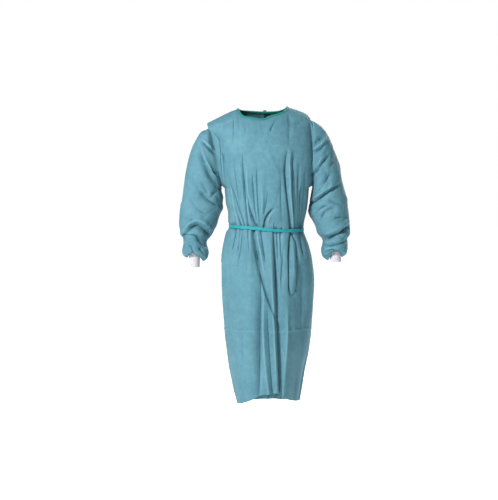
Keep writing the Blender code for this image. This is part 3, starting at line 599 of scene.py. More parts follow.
def slow_waves(metres, seed, depth, wide, tall):
    """Broad unevenness: a sum of slanted sine waves with seeded turns and phases."""
    dice = np.random.default_rng(seed)
    moved = np.zeros(metres.shape[:-1])
    for _ in range(7):
        tilt = (dice.random(2) - 0.5) * 0.9
        step = 0.6 + 0.8 * dice.random(2)
        phase = dice.random(2) * 2 * np.pi
        u, v = metres[..., 0] * step[0] / wide, metres[..., 1] * step[1] / tall
        moved += np.sin(2 * np.pi * (u + tilt[0] * v) + phase[0]) * np.cos(
            2 * np.pi * (v * 0.5 + tilt[1] * u) + phase[1])
    return moved * depth / 2.6


def metres_over(grid, ring=False):
    """Cloth metres across and up at every point of a grid, measured along the cloth."""
    across = np.linalg.norm(np.diff(grid, axis=1), axis=-1)
    across = np.concatenate([np.zeros((len(grid), 1)), np.cumsum(across, axis=1)], axis=1)
    if not ring:
        across -= across.mean(axis=1, keepdims=True)
    up = np.linalg.norm(np.diff(grid, axis=0), axis=-1).mean(axis=1)
    up = np.concatenate([[0], np.cumsum(up)])
    return np.stack([across, np.broadcast_to(up[:, None], across.shape)], axis=-1)


def bend_over(grid, ring, outward):
    """Bend of the cloth at every point: 1 in a tight hollow, -1 on a tight ridge.

    Both neighbours less twice the point give the bend, over the square of the step, in each way.
    """
    bends = []
    for axis in (0, 1):
        if axis == 1 and ring:
            wide = np.concatenate([grid[:, -1:], grid, grid[:, :1]], axis=1)
        else:
            ends = [np.take(grid, [end], axis=axis) for end in (0, -1)]
            wide = np.concatenate([ends[0], grid, ends[1]], axis=axis)
        before, after = (np.take(wide, np.arange(grid.shape[axis]) + shift, axis=axis) - grid
                         for shift in (0, 2))
        step = (np.linalg.norm(before, axis=-1) + np.linalg.norm(after, axis=-1)) / 2
        turned = np.sum((before + after) * outward, axis=-1) / np.maximum(step, 1 * MM) ** 2
        for end in () if axis == 1 and ring else (0, -1):
            turned[(slice(None),) * axis + (end,)] = 0
        bends.append(turned)
    strongest = np.where(np.abs(bends[0]) > np.abs(bends[1]), bends[0], bends[1])
    return np.clip(strongest / TIGHT_BEND, -1, 1)


def new_piece(name, points, faces, fabric):
    """Smooth mesh of points and faces in one fabric, as an object of the scene."""
    mesh = bpy.data.meshes.new(name)
    mesh.from_pydata(points, [], faces)
    mesh.shade_smooth()
    mesh.materials.append(fabric)
    made = bpy.data.objects.new(name, mesh)
    bpy.context.scene.collection.objects.link(made)
    return made


def wear(made, node):
    """Fixes a piece to the gown; it takes the place of its node, where it has one."""
    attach(made, "root")
    if node:
        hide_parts(node)
    return made


def cloth_piece(name, grid, node, fabric, ring=False, flip=False, wall=FABRIC, grow=-1):
    """Shell of cloth over a grid of points, with its cloth metres as a UV map.

    Columns close into a ring where ring is set. The wall is given by Solidify, inwards where
    grow is -1.
    """
    rows, columns = grid.shape[:2]
    index = np.arange(rows * columns).reshape(rows, columns)
    metres = metres_over(np.concatenate([grid, grid[:, :1]], axis=1) if ring else grid, ring)
    if ring:
        index = np.concatenate([index, index[:, :1]], axis=1)
    corners = [(slice(None, -1), slice(None, -1)), (slice(None, -1), slice(1, None)),
               (slice(1, None), slice(1, None)), (slice(1, None), slice(None, -1))]
    faces = np.stack([index[corner] for corner in corners], axis=-1).reshape(-1, 4)
    places = np.stack([metres[corner] for corner in corners], axis=2).reshape(-1, 4, 2)
    if flip:
        faces, places = faces[:, ::-1], places[:, ::-1]
    made = new_piece(name, grid.reshape(-1, 3), faces, fabric)
    made.data.uv_layers.new(name="cloth_metres").data.foreach_set("uv", places.ravel())
    bends = bend_over(grid, ring, grid_normals(grid) * (-1 if flip else 1))
    made.data.attributes.new("bend", "FLOAT", "POINT").data.foreach_set("value", bends.ravel())
    thickness = made.modifiers.new("Cloth wall", "SOLIDIFY")
    thickness.thickness = wall
    thickness.offset = grow
    return wear(made, node)


def body_panel(side, across, tables, lift=0.0, seed=1):
    """Grid of a body panel with its folds and wrinkles, moved out by lift where it laps.

    The moves fade at the side seams and the shoulders, and none stands out under the belt.
    """
    height, roll, reach = body_rows()
    points = body_shape(side, across, height, roll, reach)
    normal = grid_normals(points)
    normal *= side * np.sign(np.sum(normal[..., 1]))
    metres = metres_over(points)
    moved = sum(fold_height(points, table) for table in tables)
    moved += slow_waves(metres, seed, WAVE_DEPTH, 0.16, 0.50)
    moved += small_wrinkles(metres, seed + 10, WRINKLE_DEPTH, WRINKLE_LENGTH, 0.55)
    near_belt = 1 - np.exp(-((height - WAIST) / BELT_REACH) ** 2)
    moved = np.where(moved > 0, moved * near_belt, moved)
    fade = smooth_step((1 - np.abs(across)) / 0.05)
    top_fade = smooth_step(roll / np.radians(45))
    from_seam = (1 - np.abs(across)) * SIDE_GIRTH
    puckers = np.sin(height / PUCKER_PITCH + 2.5 * np.sin(height / (31 * MM)))
    puckers = puckers * PUCKER_DEPTH * np.exp(-from_seam / PUCKER_REACH)
    moved = (moved * top_fade + puckers) * fade
    moved -= SEAM_DIP * np.exp(-(from_seam / SEAM_DIP_WIDTH) ** 2)
    return points + normal * (moved + lift)[..., None]


def spread(stops, counts):
    """Even columns between the stops of each row, with a count of steps for each stretch."""
    runs = [start + (end - start) * np.arange(count) / count
            for start, end, count in zip(stops[:-1], stops[1:], counts)]
    return np.concatenate([*runs, stops[-1]], axis=1)


def guide(name):
    """Share of a quarter girth at which a guide line crosses each row."""
    height, roll, reach = body_rows()
    nominal = np.where(roll < np.pi / 2, ROLL * roll / (np.pi / 2), height)
    x = flow(nominal, column(GUIDES, "height"), column(GUIDES, name))
    return across_at(x, height, roll, reach)


FRONT_COLUMNS = (54, 44, 32, 42)
side_seam = np.ones(body_rows()[0].shape)
guides = [guide(name) for name in ("first", "middle", "last")]
front_across = spread([-side_seam, *guides, side_seam], FRONT_COLUMNS)
front_grid = body_panel(-1, front_across, (CHEST_FOLDS, SKIRT_FOLDS, PACKING_MARKS), seed=1)
body_front = cloth_piece("gown_front_panel", front_grid, "body_front", gown_cloth)

# Back panels
# Two pieces of the same cloth. The wearer's left one laps over the right one from the neck to
# the hem, wider below, and both are drawn in by the tape like the front.
LAP = 3.0 * MM
LAP_AT_NECK = 0.10
LAP_AT_HEM = 0.36
BACK_FOLDS = [Fold(*row) for row in (
    (-158, -180, -134, -330, -108, -446, 7, 8, 13, 0.2, 1),
    (-140, -200, -118, -340, -94, -446, 7, 7, -5, 0.1, 0.6),
    (-126, -250, -104, -360, -80, -446, 5, 8, 9, 0.2, 1),
    (-92, -200, -80, -330, -64, -446, 5, 8, 6, 0.2, 0.8),
    (-58, -230, -50, -340, -44, -446, 6, 9, 11, 0.2, 1),
    (-20, -300, -14, -380, -16, -446, 5, 8, 7, 0.2, 1),
    (20, -230, 16, -350, 12, -440, 8, 6, 5, 0.1, 0.6),
    (38, -280, 34, -370, 28, -446, 8, 5, 9, 0.2, 1),
    (80, -200, 68, -340, 54, -446, 9, 6, 13, 0.3, 1),
    (96, -220, 84, -350, 70, -440, 7, 7, -5, 0.1, 0.6),
    (112, -280, 98, -370, 84, -446, 8, 5, 9, 0.2, 1),
    (146, -200, 134, -350, 110, -446, 9, 6, 12, 0.2, 1),
    (-160, -170, -60, -152, 10, -166, 10, 9, 4, 0.2, 0.1),
    (-150, -215, -90, -200, -20, -235, 9, 9, 4, 0.2, 0.1),
    (150, -190, 110, -180, 60, -205, 9, 9, 4, 0.3, 0.1),
    (-104, -456, -118, -520, -128, -620, 5, 9, 12, 1, 0.1),
    (-88, -456, -100, -700, -84, -1128, 5, 16, 17, 0.7, 1),
    (-100, -500, -116, -720, -104, -1128, 9, 9, -6, 0.3, 0.8),
    (-66, -456, -72, -520, -80, -600, 4, 7, 8, 1, 0.1),
    (-48, -456, -54, -510, -56, -570, 4, 6, 6, 1, 0.1),
    (-34, -456, -42, -560, -46, -690, 5, 9, 13, 1, 0.1),
    (-12, -456, -14, -510, -10, -580, 4, 6, 7, 1, 0.1),
    (14, -456, 16, -540, 20, -640, 5, 7, 9, 1, 0.1),
    (30, -456, 32, -500, 36, -560, 5, 5, 6, 1, 0.1),
    (44, -456, 52, -520, 60, -600, 6, 5, 8, 1, 0.1),
    (64, -456, 82, -760, 68, -1126, 12, 6, 17, 0.7, 1),
    (82, -520, 98, -760, 84, -1126, 9, 9, -6, 0.3, 0.8),
    (92, -456, 106, -540, 116, -640, 5, 8, 11, 1, 0.1),
    (118, -456, 134, -560, 144, -680, 6, 7, 11, 1, 0.1),
    (-128, -620, -134, -860, -110, -1126, 10, 10, 8, 0.1, 1),
    (-46, -700, -46, -920, -38, -1130, 9, 17, 12, 0.1, 1),
    (-64, -700, -66, -900, -60, -1130, 9, 9, -6, 0.1, 1),
    (8, -660, 14, -900, 14, -1130, 14, 9, 11, 0.1, 1),
    (36, -720, 40, -900, 38, -1130, 10, 10, -6, 0.1, 1),
    (106, -700, 112, -900, 94, -1126, 10, 12, -6, 0.1, 1),
    (146, -680, 140, -930, 116, -1124, 12, 8, 12, 0.1, 1),
)]
BACK_MARKS = [Fold(*row) for row in (
    (-171, -142, -2, -140, 167, -144, 5, 5, -1.6, 0.6, 0.6),
    (-169, -594, 0, -596, 180, -594, 5, 5, 1.8, 0.7, 0.7),
    (-164, -840, 0, -838, 179, -841, 5, 5, -1.8, 0.7, 0.7),
)]


def over_lift(across, lap):
    """How far the upper back panel stands off where it laps over the lower one."""
    return LAP * smooth_step((lap + 0.22 - across) / 0.18)


def tape_lift(across, lap):
    """How far a tape stands off at the back, where it crosses the overlap."""
    return over_lift(across, lap) * smooth_step((across + lap + 0.20) / 0.16)


lap = np.interp(body_rows()[0], [HEM, ROLL], [LAP_AT_HEM, LAP_AT_NECK])
back_across = spread([side_seam, -lap], [112])
left_grid = body_panel(1, back_across, (BACK_FOLDS, BACK_MARKS), over_lift(back_across, lap), 5)
right_grid = body_panel(1, -back_across, (BACK_FOLDS, BACK_MARKS), seed=5)
back_left = cloth_piece("gown_back_left", left_grid, "body_back_left", gown_cloth)
back_right = cloth_piece("gown_back_right", right_grid, "body_back_right", gown_cloth,
                         flip=True)

# Sleeves
# Long set-in sleeves of the same cloth, each with one seam under the arm. They are full at the
# elbow, blouse over the wrist, and are gathered into the top of the cuff.
Ring = namedtuple("Ring", "outer_x outer_z inner_x inner_z middle front back lift")
RIGHT_SLEEVE = [
    Ring(-222, -70, -168, -293, -2, 60, 58, 0),
    Ring(-248, -86, -169, -297, 0, 68, 66, 0),
    Ring(-275, -131, -168, -306, 2, 76, 76, 0),
    Ring(-298, -191, -165, -320, 5, 80, 82, 0),
    Ring(-312, -261, -162, -337, 8, 82, 84, 0),
    Ring(-320, -331, -164, -358, 10, 80, 84, 0),
    Ring(-327, -366, -163, -377, 11, 78, 82, 0),
    Ring(-331, -397, -173, -399, 11, 77, 80, 0),
    Ring(-333, -437, -186, -437, 8, 76, 77, 0),
    Ring(-331, -475, -203, -475, 2, 74, 74, 0),
    Ring(-317, -494, -226, -508, -4, 62, 62, 2),
    Ring(-316, -512, -222, -527, -8, 58, 58, 0),
    Ring(-321, -539, -217, -549, -11, 56, 56, 2),
    Ring(-317, -558, -222, -568, -14, 51, 50, 12),
    Ring(-302, -568, -239, -581, -16, 41, 41, 25),
    Ring(-297, -561, -247, -568, -17, 33, 33, 15),
    Ring(-294.6, -548, -251.0, -548, -18, 28.0, 28.0, 0),
]
LEFT_SLEEVE = [
    Ring(182, -42, 178, -292, -2, 60, 58, 0),
    Ring(218, -68, 179, -297, 0, 68, 66, 0),
    Ring(236, -92, 178, -306, 2, 76, 76, 0),
    Ring(256, -131, 175, -320, 5, 80, 82, 0),
    Ring(271, -173, 172, -334, 8, 82, 84, 0),
    Ring(286, -216, 170, -348, 10, 81, 84, 0),
    Ring(293, -260, 168, -362, 11, 80, 83, 0),
    Ring(303, -300, 166, -376, 12, 78, 82, 0),
    Ring(316, -343, 164.5, -391, 12, 77, 80, 0),
    Ring(321, -400, 171, -412, 10, 76, 78, 0),
    Ring(324, -435, 187, -437, 7, 75, 76, 0),
    Ring(326, -473, 199, -474, 2, 73, 73, 0),
    Ring(316, -501, 219, -502, -5, 60, 60, 4),
    Ring(316, -527, 213, -535, -10, 57, 56, 2),
    Ring(311, -553, 216, -558, -14, 52, 51, 15),
    Ring(293, -566, 239, -578, -16, 41, 41, 37),
    Ring(292, -558, 246, -564, -17, 33, 33, 24),
    Ring(290.6, -544, 247.0, -544, -18, 28.0, 28.0, 0),
]
RIGHT_SLEEVE_FOLDS = [Fold(*row) for row in (
    (-207, -97, -193, -149, -174, -177, 7, 9, 14, 0.3, 0.4),
    (-251, -118, -210, -154, -169, -186, 5, 6, 11, 0.2, 0.5),
    (-252, -110, -210, -144, -171, -175, 4, 5, -5, 0.2, 0.3),
    (-260, -142, -228, -223, -186, -285, 9, 5, 11, 0.2, 0.2),
    (-249, -142, -216, -219, -179, -273, 6, 6, -5, 0.2, 0.2),
    (-211, -237, -191, -243, -167, -249, 4, 6, 5, 0.2, 0.4),
    (-275, -281, -256, -308, -228, -335, 5, 7, 7, 0.1, 0.2),
    (-244, -272, -229, -304, -216, -338, 5, 5, 6, 0.1, 0.2),
    (-256, -308, -229, -339, -189, -366, 6, 6, 9, 0.1, 0.4),
    (-295, -331, -268, -373, -225, -404, 7, 6, 5, 0.1, 0.2),
    (-306, -254, -287, -277, -275, -308, 7, 7, 4, 0.2, 0.1),
    (-318, -479, -268, -441, -214, -477, 8, 5, 17, 0.8, 0.8),
    (-314, -466, -264, -424, -210, -458, 7, 8, -6, 0.4, 0.5),
    (-314, -487, -275, -483, -229, -524, 6, 6, 9, 0.5, 0.6),
    (-256, -524, -246, -535, -235, -551, 4, 5, 6, 0.3, 0.3),
    (-298, -516, -283, -531, -279, -558, 5, 5, 5, 0.2, 0.5),
    (-325, -404, -298, -420, -268, -416, 8, 8, 4, 0.3, 0.1),
    (-183, -308, -198, -323, -210, -343, 5, 6, 5, 0.5, 0.1),
)]
LEFT_SLEEVE_FOLDS = [Fold(*row) for row in (
    (177, -141, 198, -121, 218, -108, 4, 6, 13, 0.8, 0.4),
    (179, -152, 214, -131, 235, -89, 5, 5, -7, 0.4, 0.3),
    (179, -164, 206, -150, 225, -137, 6, 5, 12, 0.7, 0.3),
    (178, -250, 210, -212, 248, -173, 6, 7, 8, 0.5, 0.2),
    (179, -235, 206, -200, 241, -166, 6, 5, -4, 0.4, 0.1),
    (176, -358, 221, -330, 287, -285, 6, 7, 12, 0.5, 0.15),
    (177, -343, 218, -317, 271, -277, 6, 6, -4, 0.4, 0.1),
    (202, -296, 233, -270, 260, -231, 8, 8, 4, 0.1, 0.1),
    (217, -339, 256, -352, 312, -376, 6, 6, 6, 0.1, 0.4),
    (206, -424, 229, -387, 271, -375, 6, 6, 9, 0.4, 0.1),
    (187, -400, 210, -377, 241, -364, 6, 6, 5, 0.4, 0.1),
    (252, -420, 279, -412, 310, -414, 7, 7, 5, 0.1, 0.4),
    (233, -495, 279, -474, 325, -447, 8, 5, 16, 0.6, 0.8),
    (225, -475, 271, -454, 321, -427, 7, 7, -5, 0.3, 0.5),
    (210, -512, 252, -518, 314, -504, 6, 6, 8, 0.5, 0.6),
    (229, -547, 248, -535, 271, -543, 4, 5, 5, 0.3, 0.3),
    (248, -58, 241, -89, 218, -119, 6, 6, 4, 0.2, 0.1),
    (275, -162, 268, -192, 241, -223, 7, 7, 4, 0.3, 0.1),
)]
BACK_SLEEVE_FOLDS = [Fold(*row) for row in (
    (205, -120, 232, -180, 262, -228, 7, 9, 7, 0.2, 0.2),
    (184, -160, 208, -196, 240, -222, 6, 6, 6, 0.4, 0.2),
    (190, -225, 226, -262, 276, -278, 7, 8, 9, 0.3, 0.2),
    (182, -262, 214, -290, 262, -298, 6, 6, -4, 0.3, 0.2),
    (180, -310, 226, -318, 296, -300, 7, 7, 11, 0.4, 0.3),
    (182, -352, 232, -350, 300, -336, 7, 7, 8, 0.4, 0.3),
    (196, -392, 240, -380, 306, -380, 7, 8, 8, 0.2, 0.3),
    (214, -430, 262, -416, 312, -420, 8, 8, 5, 0.2, 0.3),
    (214, -480, 262, -450, 318, -478, 8, 6, 15, 0.7, 0.7),
    (224, -520, 262, -508, 306, -524, 6, 6, 8, 0.5, 0.5),
)]
SLEEVE_ROWS = 168
SLEEVE_DEPTH = 1.5
SLEEVE_WRINKLE_DEPTH = 2.0 * MM
SLEEVE_WRINKLE_LENGTH = 0.085
GATHER_DEPTH = 0.9 * MM
GROOVES = {-1: 7 * MM, 1: 4.5 * MM}
LIP_START = 0.1 * MM
LIP_END = 3.2 * MM


def edge_ways(loop, outward):
    """Two unit ways all round a closed edge: out of the cloth, and into the hole."""
    along = unit(np.roll(loop, -1, axis=0) - np.roll(loop, 1, axis=0))
    outward = unit(outward - along * np.sum(outward * along, axis=1, keepdims=True))
    inward = unit(np.cross(outward, along))
    inward *= np.sign(np.sum(inward * (loop.mean(axis=0) - loop), axis=1))[:, None]
    return outward, inward


def armhole_edge(hand):
    """Points, ways into the hole and turns of the sleeve all round one armhole.

    It starts at the shoulder corner, runs down the front, through the armpit, and up the
    back. hand is 1 on the wearer's left.
    """
    height, roll, reach = body_rows()
    first = int(np.argmax(reach[:, 0] < np.pi / 2)) - 1
    rows = slice(first, None)
    points, normals = [], []
    for side in (-1, 1):
        across = hand * np.array([[0.98, 1.0]])
        strip = body_shape(side, across, height[rows], roll[rows], reach[rows])
        outward = grid_normals(strip)[:, 1]
        outward *= np.sign(np.sum(outward * (strip[:, 1] - [0, 0, -0.30]), axis=1))[:, None]
        points.append(strip[:, 1])
        normals.append(outward)
    loop = np.concatenate([points[0][::-1], points[1][1:-1]])
    outward = np.concatenate([normals[0][::-1], normals[1][1:-1]])
    closed = np.concatenate([loop, loop[:1]])
    half = len(points[0]) - 1
    run = np.concatenate([[0], np.cumsum(np.linalg.norm(np.diff(closed, axis=0), axis=1))])
    turn = np.interp(run, [0, run[half], run[-1]], [0, np.pi, 2 * np.pi])[:-1]
    return loop, edge_ways(loop, outward)[1], turn


def ring_folds(at, turn, seed, last):
    """Uneven folds of a sleeve: slanted ones round it, each over a part, and a few along it."""
    dice = np.random.default_rng(seed)
    moved = np.zeros((at.size, turn.size))
    for number in range(13):
        centre = 2.2 + (last - 7) * (number / 12) ** 0.8 + dice.random() * 0.8
        slant = (dice.random() - 0.5) * 5.5
        phase = dice.random() * 2 * np.pi
        width = 0.12 + 0.30 * dice.random() ** 2
        depth = (0.8 + 2.6 * dice.random()) * MM
        line = centre + slant * np.sin(turn + phase) + 0.4 * np.sin(3 * turn + 2 * phase)
        share = smooth_step(0.45 + 0.8 * np.cos(turn - 2.3 * number))
        moved -= depth * share * np.exp(-np.abs((at[:, None] - line) / width) ** 1.25)
    for number in range(5):
        line = 2 * np.pi * (number + 0.6 * dice.random()) / 5 + 0.35 * np.sin(at * 0.55 + number)
        off = (turn[None] - line[:, None] + np.pi) % (2 * np.pi) - np.pi
        reach = np.exp(-((at - 3.5 - 6 * dice.random()) / 2.6) ** 2)[:, None]
        moved -= (1.5 + 2.0 * dice.random()) * MM * reach * np.exp(-np.abs(off / 0.11) ** 1.3)
    return moved


def sleeve_grid(hand, rings, folds, seed):
    """Sleeve from the armhole to the cuff, bloused over the cuff and folded.

    Each ring is an oval between its outer and inner point, and the rings flow into each other.
    At the end every move is averaged with its neighbours', which rounds the creases.
    """
    edge, away, turn = armhole_edge(hand)
    outer = np.stack([column(rings, "outer_x"), column(rings, "outer_z")], axis=-1)[:, None]
    inner = np.stack([column(rings, "inner_x"), column(rings, "inner_z")], axis=-1)[:, None]
    flat = (outer + inner) / 2 + (outer - inner) / 2 * np.cos(turn)[:, None]
    bend = np.sin(turn)
    front = column(rings, "front")[:, None]
    back = column(rings, "back")[:, None]
    y = column(rings, "middle")[:, None] - np.where(bend > 0, front, back) * bend
    z = flat[..., 1] + column(rings, "lift")[:, None] * bend ** 2
    table = np.stack([flat[..., 0], y, z], axis=-1)
    lips = np.stack([edge + away * LIP_START, edge + away * LIP_END])
    control = np.concatenate([lips, table])
    last = len(control) - 1.0
    at = np.concatenate([[0], np.linspace(1, last, SLEEVE_ROWS)])
    points = flow(at, np.arange(len(control), dtype=float), control)
    around = np.concatenate([points[:, -1:], points, points[:, :1]], axis=1)
    normal = grid_normals(around)[:, 1:-1]
    centre = points.mean(axis=1, keepdims=True)
    normal *= np.sign(np.sum(normal * (points - centre)))
    mirrored = [fold._replace(x1=hand * fold.x1, x2=hand * fold.x2, x3=hand * fold.x3)
                for fold in BACK_SLEEVE_FOLDS]
    moved = np.where(bend > 0, fold_height(points, folds), fold_height(points, mirrored))
    moved *= SLEEVE_DEPTH * smooth_step(np.abs(bend) / 0.35)
    metres = metres_over(points, True)
    moved += ring_folds(at, turn, seed, last)
    moved += small_wrinkles(metres, seed + 1, SLEEVE_WRINKLE_DEPTH, SLEEVE_WRINKLE_LENGTH)
    ends = smooth_step((at - 1) / 1.2) * smooth_step((last - 2 - at) / 1.5)
    gathers = np.sin(23 * turn + 0.8 * np.sin(3 * turn)) + 0.5 * np.sin(37 * turn + 2)
    puckers = np.exp(-((at - last + 0.6) / 1.3) ** 2)
    groove = np.exp(-((at - 1.75) / 0.32) ** 2) * smooth_step((at - 1) / 0.4)
    deep = GROOVES[hand] * smooth_step(0.75 + np.cos(turn + 0.2))
    moved = moved * ends[:, None] + GATHER_DEPTH * gathers * puckers[:, None]
    moved -= groove[:, None] * deep
    moved = (np.roll(moved, 1, axis=1) + 2 * moved + np.roll(moved, -1, axis=1)) / 4
    moved[1:-1] = (moved[:-2] + 2 * moved[1:-1] + moved[2:]) / 4
    return points + normal * moved[..., None]


sleeve_right = cloth_piece("gown_sleeve_right",
                           sleeve_grid(-1, RIGHT_SLEEVE, RIGHT_SLEEVE_FOLDS, 21),
                           "sleeve_right", gown_cloth, ring=True, flip=True)
sleeve_left = cloth_piece("gown_sleeve_left",
                          sleeve_grid(1, LEFT_SLEEVE, LEFT_SLEEVE_FOLDS, 31),
                          "sleeve_left", gown_cloth, ring=True)

# Knitted cuffs
# White tubes of ribbed knit, sewn inside the gathered end of each sleeve. The ribs stand
# upright and the lower edge turns a little inwards.
KNIT = 1.2 * MM
RIBS = 52
RIB_DEPTH = 0.55 * MM
HEM_TURN = 0.9 * MM
CUFF_SHADE = (0.24, 0.238, 0.265)
CUFF_WHITE = (0.38, 0.38, 0.40)
Cuff = namedtuple("Cuff", "height middle_x half_width middle_y half_depth")
RIGHT_CUFF = [
    Cuff(-603, -273.6, 21.4, -21, 27.5), Cuff(-588, -273.2, 20.8, -20, 27.0),
    Cuff(-566, -272.8, 21.0, -19, 27.2), Cuff(-548, -272.8, 21.2, -18, 27.4),
    Cuff(-536, -272.8, 21.2, -18, 27.4),
]
LEFT_CUFF = [
    Cuff(-583, 269.6, 21.4, -21, 27.5), Cuff(-572, 269.2, 20.8, -20, 27.0),
    Cuff(-558, 268.8, 21.0, -19, 27.2), Cuff(-544, 268.8, 21.2, -18, 27.4),
    Cuff(-532, 268.8, 21.2, -18, 27.4),
]
cuff_knit, knit_shader, start = finish("knit_cuff", CUFF_WHITE, 0.85, 0.3)
on_cuff = start.node("ShaderNodeUVMap", {"uv_map": "cloth_metres"})
loops = start.node("ShaderNodeTexWave", {"bands_direction": "Y"}, {
    "Vector": on_cuff, "Scale": 190.0, "Distortion": 1.2, "Detail": 1.0, "Detail Scale": 3.0})
fluff = start.node("ShaderNodeTexNoise", {}, {"Vector": on_cuff, "Scale": 1400.0, "Detail": 2.0})
dress(knit_shader, (loops * 0.6 + fluff * 0.4).blend((*CUFF_SHADE, 1), (*CUFF_WHITE, 1)),
      None, loops * 0.5 + fluff * 0.3, 0.4 * MM, 0.8)


def cuff_grid(table):
    """Knitted tube: ovals through the table's heights, with a cosine rib all round."""
    at = np.linspace(column(table, "height")[0], column(table, "height")[-1], 30)
    turn = np.linspace(0, 2 * np.pi, RIBS * 6, endpoint=False)
    level = {name: flow(at, column(table, "height"), column(table, name))[:, None]
             for name in ("middle_x", "half_width", "middle_y", "half_depth")}
    low = np.exp(-((at - at[0]) / (2.5 * MM)) ** 2)[:, None]
    rib = RIB_DEPTH * (np.cos(RIBS * turn) - 1) * (1 - 0.6 * low) - HEM_TURN * low
    x = level["middle_x"] + (level["half_width"] + rib) * np.cos(turn)
    y = level["middle_y"] + (level["half_depth"] + rib) * np.sin(turn)
    sag = 0.7 * MM * np.sin(2 * turn + 1) * low
    return np.stack([x, y, at[:, None] + sag], axis=-1)


cuff_right = cloth_piece("gown_cuff_right", cuff_grid(RIGHT_CUFF), "cuff_right", cuff_knit,
                         ring=True, wall=KNIT)
cuff_left = cloth_piece("gown_cuff_left", cuff_grid(LEFT_CUFF), "cuff_left", cuff_knit,
                        ring=True, wall=KNIT)

# Neck binding
# A green strip folded over the cut edge all round the neck and stitched through. Its two ends
# run on past the opening at the back and are tied there.
BINDING_WIDTH = 8.0 * MM
BINDING_HALF = 1.3 * MM
BINDING_SUNK = 0.35 * MM
BINDING_GREEN = (0.006, 0.155, 0.125)
binding_cloth, binding_shader, start = finish("neck_binding", BINDING_GREEN, 0.7, 0.03)
on_binding = start.node("ShaderNodeUVMap", {"uv_map": "cloth_metres"})
ribbing = start.node("ShaderNodeTexWave", {"bands_direction": "X"}, {
    "Vector": on_binding, "Scale": 330.0, "Distortion": 0.5})
weft = start.node("ShaderNodeTexWave", {"bands_direction": "Y"}, {
    "Vector": on_binding, "Scale": 420.0, "Distortion": 0.4})
uneven = start.node("ShaderNodeTexNoise", {}, {"Vector": on_binding, "Scale": 90.0, "Detail": 3.0})
binding_colour = (uneven * 0.7 + ribbing * 0.3).blend((0.002, 0.090, 0.076, 1),
                                                      (0.005, 0.150, 0.128, 1))
dress(binding_shader, binding_colour, None, ribbing * 0.5 + weft * 0.4, 0.3 * MM, 0.7)


def neck_loop(front, back):
    """Edge of the neckline all round, its outward normals, its way into the hole and its lift."""
    height, roll, reach = (values[-2:] for values in body_rows())
    points, normals, lifts = [], [], []
    for side, across in ((-1, front), (1, back)):
        strip = body_shape(side, across[None], height, roll, reach)
        outward = grid_normals(strip)[-1]
        outward *= np.sign(outward[:, 2:])
        points.append(strip[-1])
        normals.append(outward)
        lifts.append(tape_lift(across, LAP_AT_NECK) if side > 0 else 0 * across)
    loop = np.concatenate([points[0], points[1][1:-1]])
    outward = np.concatenate([normals[0], normals[1][1:-1]])
    lift = np.concatenate([lifts[0], lifts[1][1:-1]])[:, None]
    return loop, *edge_ways(loop, outward), lift


at_neck = [values[-1:] for values in body_rows()]
front_neck = np.linspace(guides[0][-1, 0], guides[2][-1, 0], 190)
neck_ends = [across_at(np.array([[x * MM]]), *at_neck)[0, 0] for x in (-111, 89)]
back_neck = np.linspace(neck_ends[1], neck_ends[0], 150)
neck, neck_out, neck_in, neck_lift = neck_loop(front_neck, back_neck)

# The strip's own section: how far it reaches into the hole, in mm, and on which face it lies
flat = np.linspace(BINDING_WIDTH / MM - 9.0, BINDING_WIDTH / MM - 1.0, 6)
rim = np.linspace(0.3, 2.84, 6)
fold_over = np.concatenate([
    np.stack([flat, np.ones(6)], axis=1),
    np.stack([flat[-1] + BINDING_HALF / MM * np.sin(rim), np.cos(rim)], axis=1),
    np.stack([flat[::-1], -np.ones(6)], axis=1)])
ripple = 0.25 * MM * np.sin(np.arange(len(neck)) * 0.9) * np.abs(fold_over[:, 1:])
binding_grid = (neck + neck_in * (fold_over[:, :1, None] * MM)
                + neck_out * ((fold_over[:, 1:] * BINDING_HALF + ripple)[..., None]
                              - BINDING_SUNK
                              + neck_lift * (1 + fold_over[:, 1:, None]) / 2))
neck_binding = cloth_piece("gown_neck_binding", binding_grid, "neck_binding", binding_cloth,
                           ring=True, wall=0.5 * MM)

# The row of thread that holds the folded strip, near its lower edge, on both faces of it.
STITCH_PITCH = 3.2 * MM
STITCH_LENGTH = 2.3 * MM
STITCH_THICK = 0.5 * MM
STITCH_UP = 0.5 * MM
thread, thread_shader, start = finish("green_thread", (0.010, 0.210, 0.175), 0.6, 0.02)
twist = start.node("ShaderNodeTexWave", {"bands_direction": "DIAGONAL"}, {
    "Vector": start.node("ShaderNodeTexCoord", out="Object"), "Scale": 900.0})
dress(thread_shader, twist.blend((0.006, 0.150, 0.125, 1), (0.014, 0.240, 0.200, 1)))


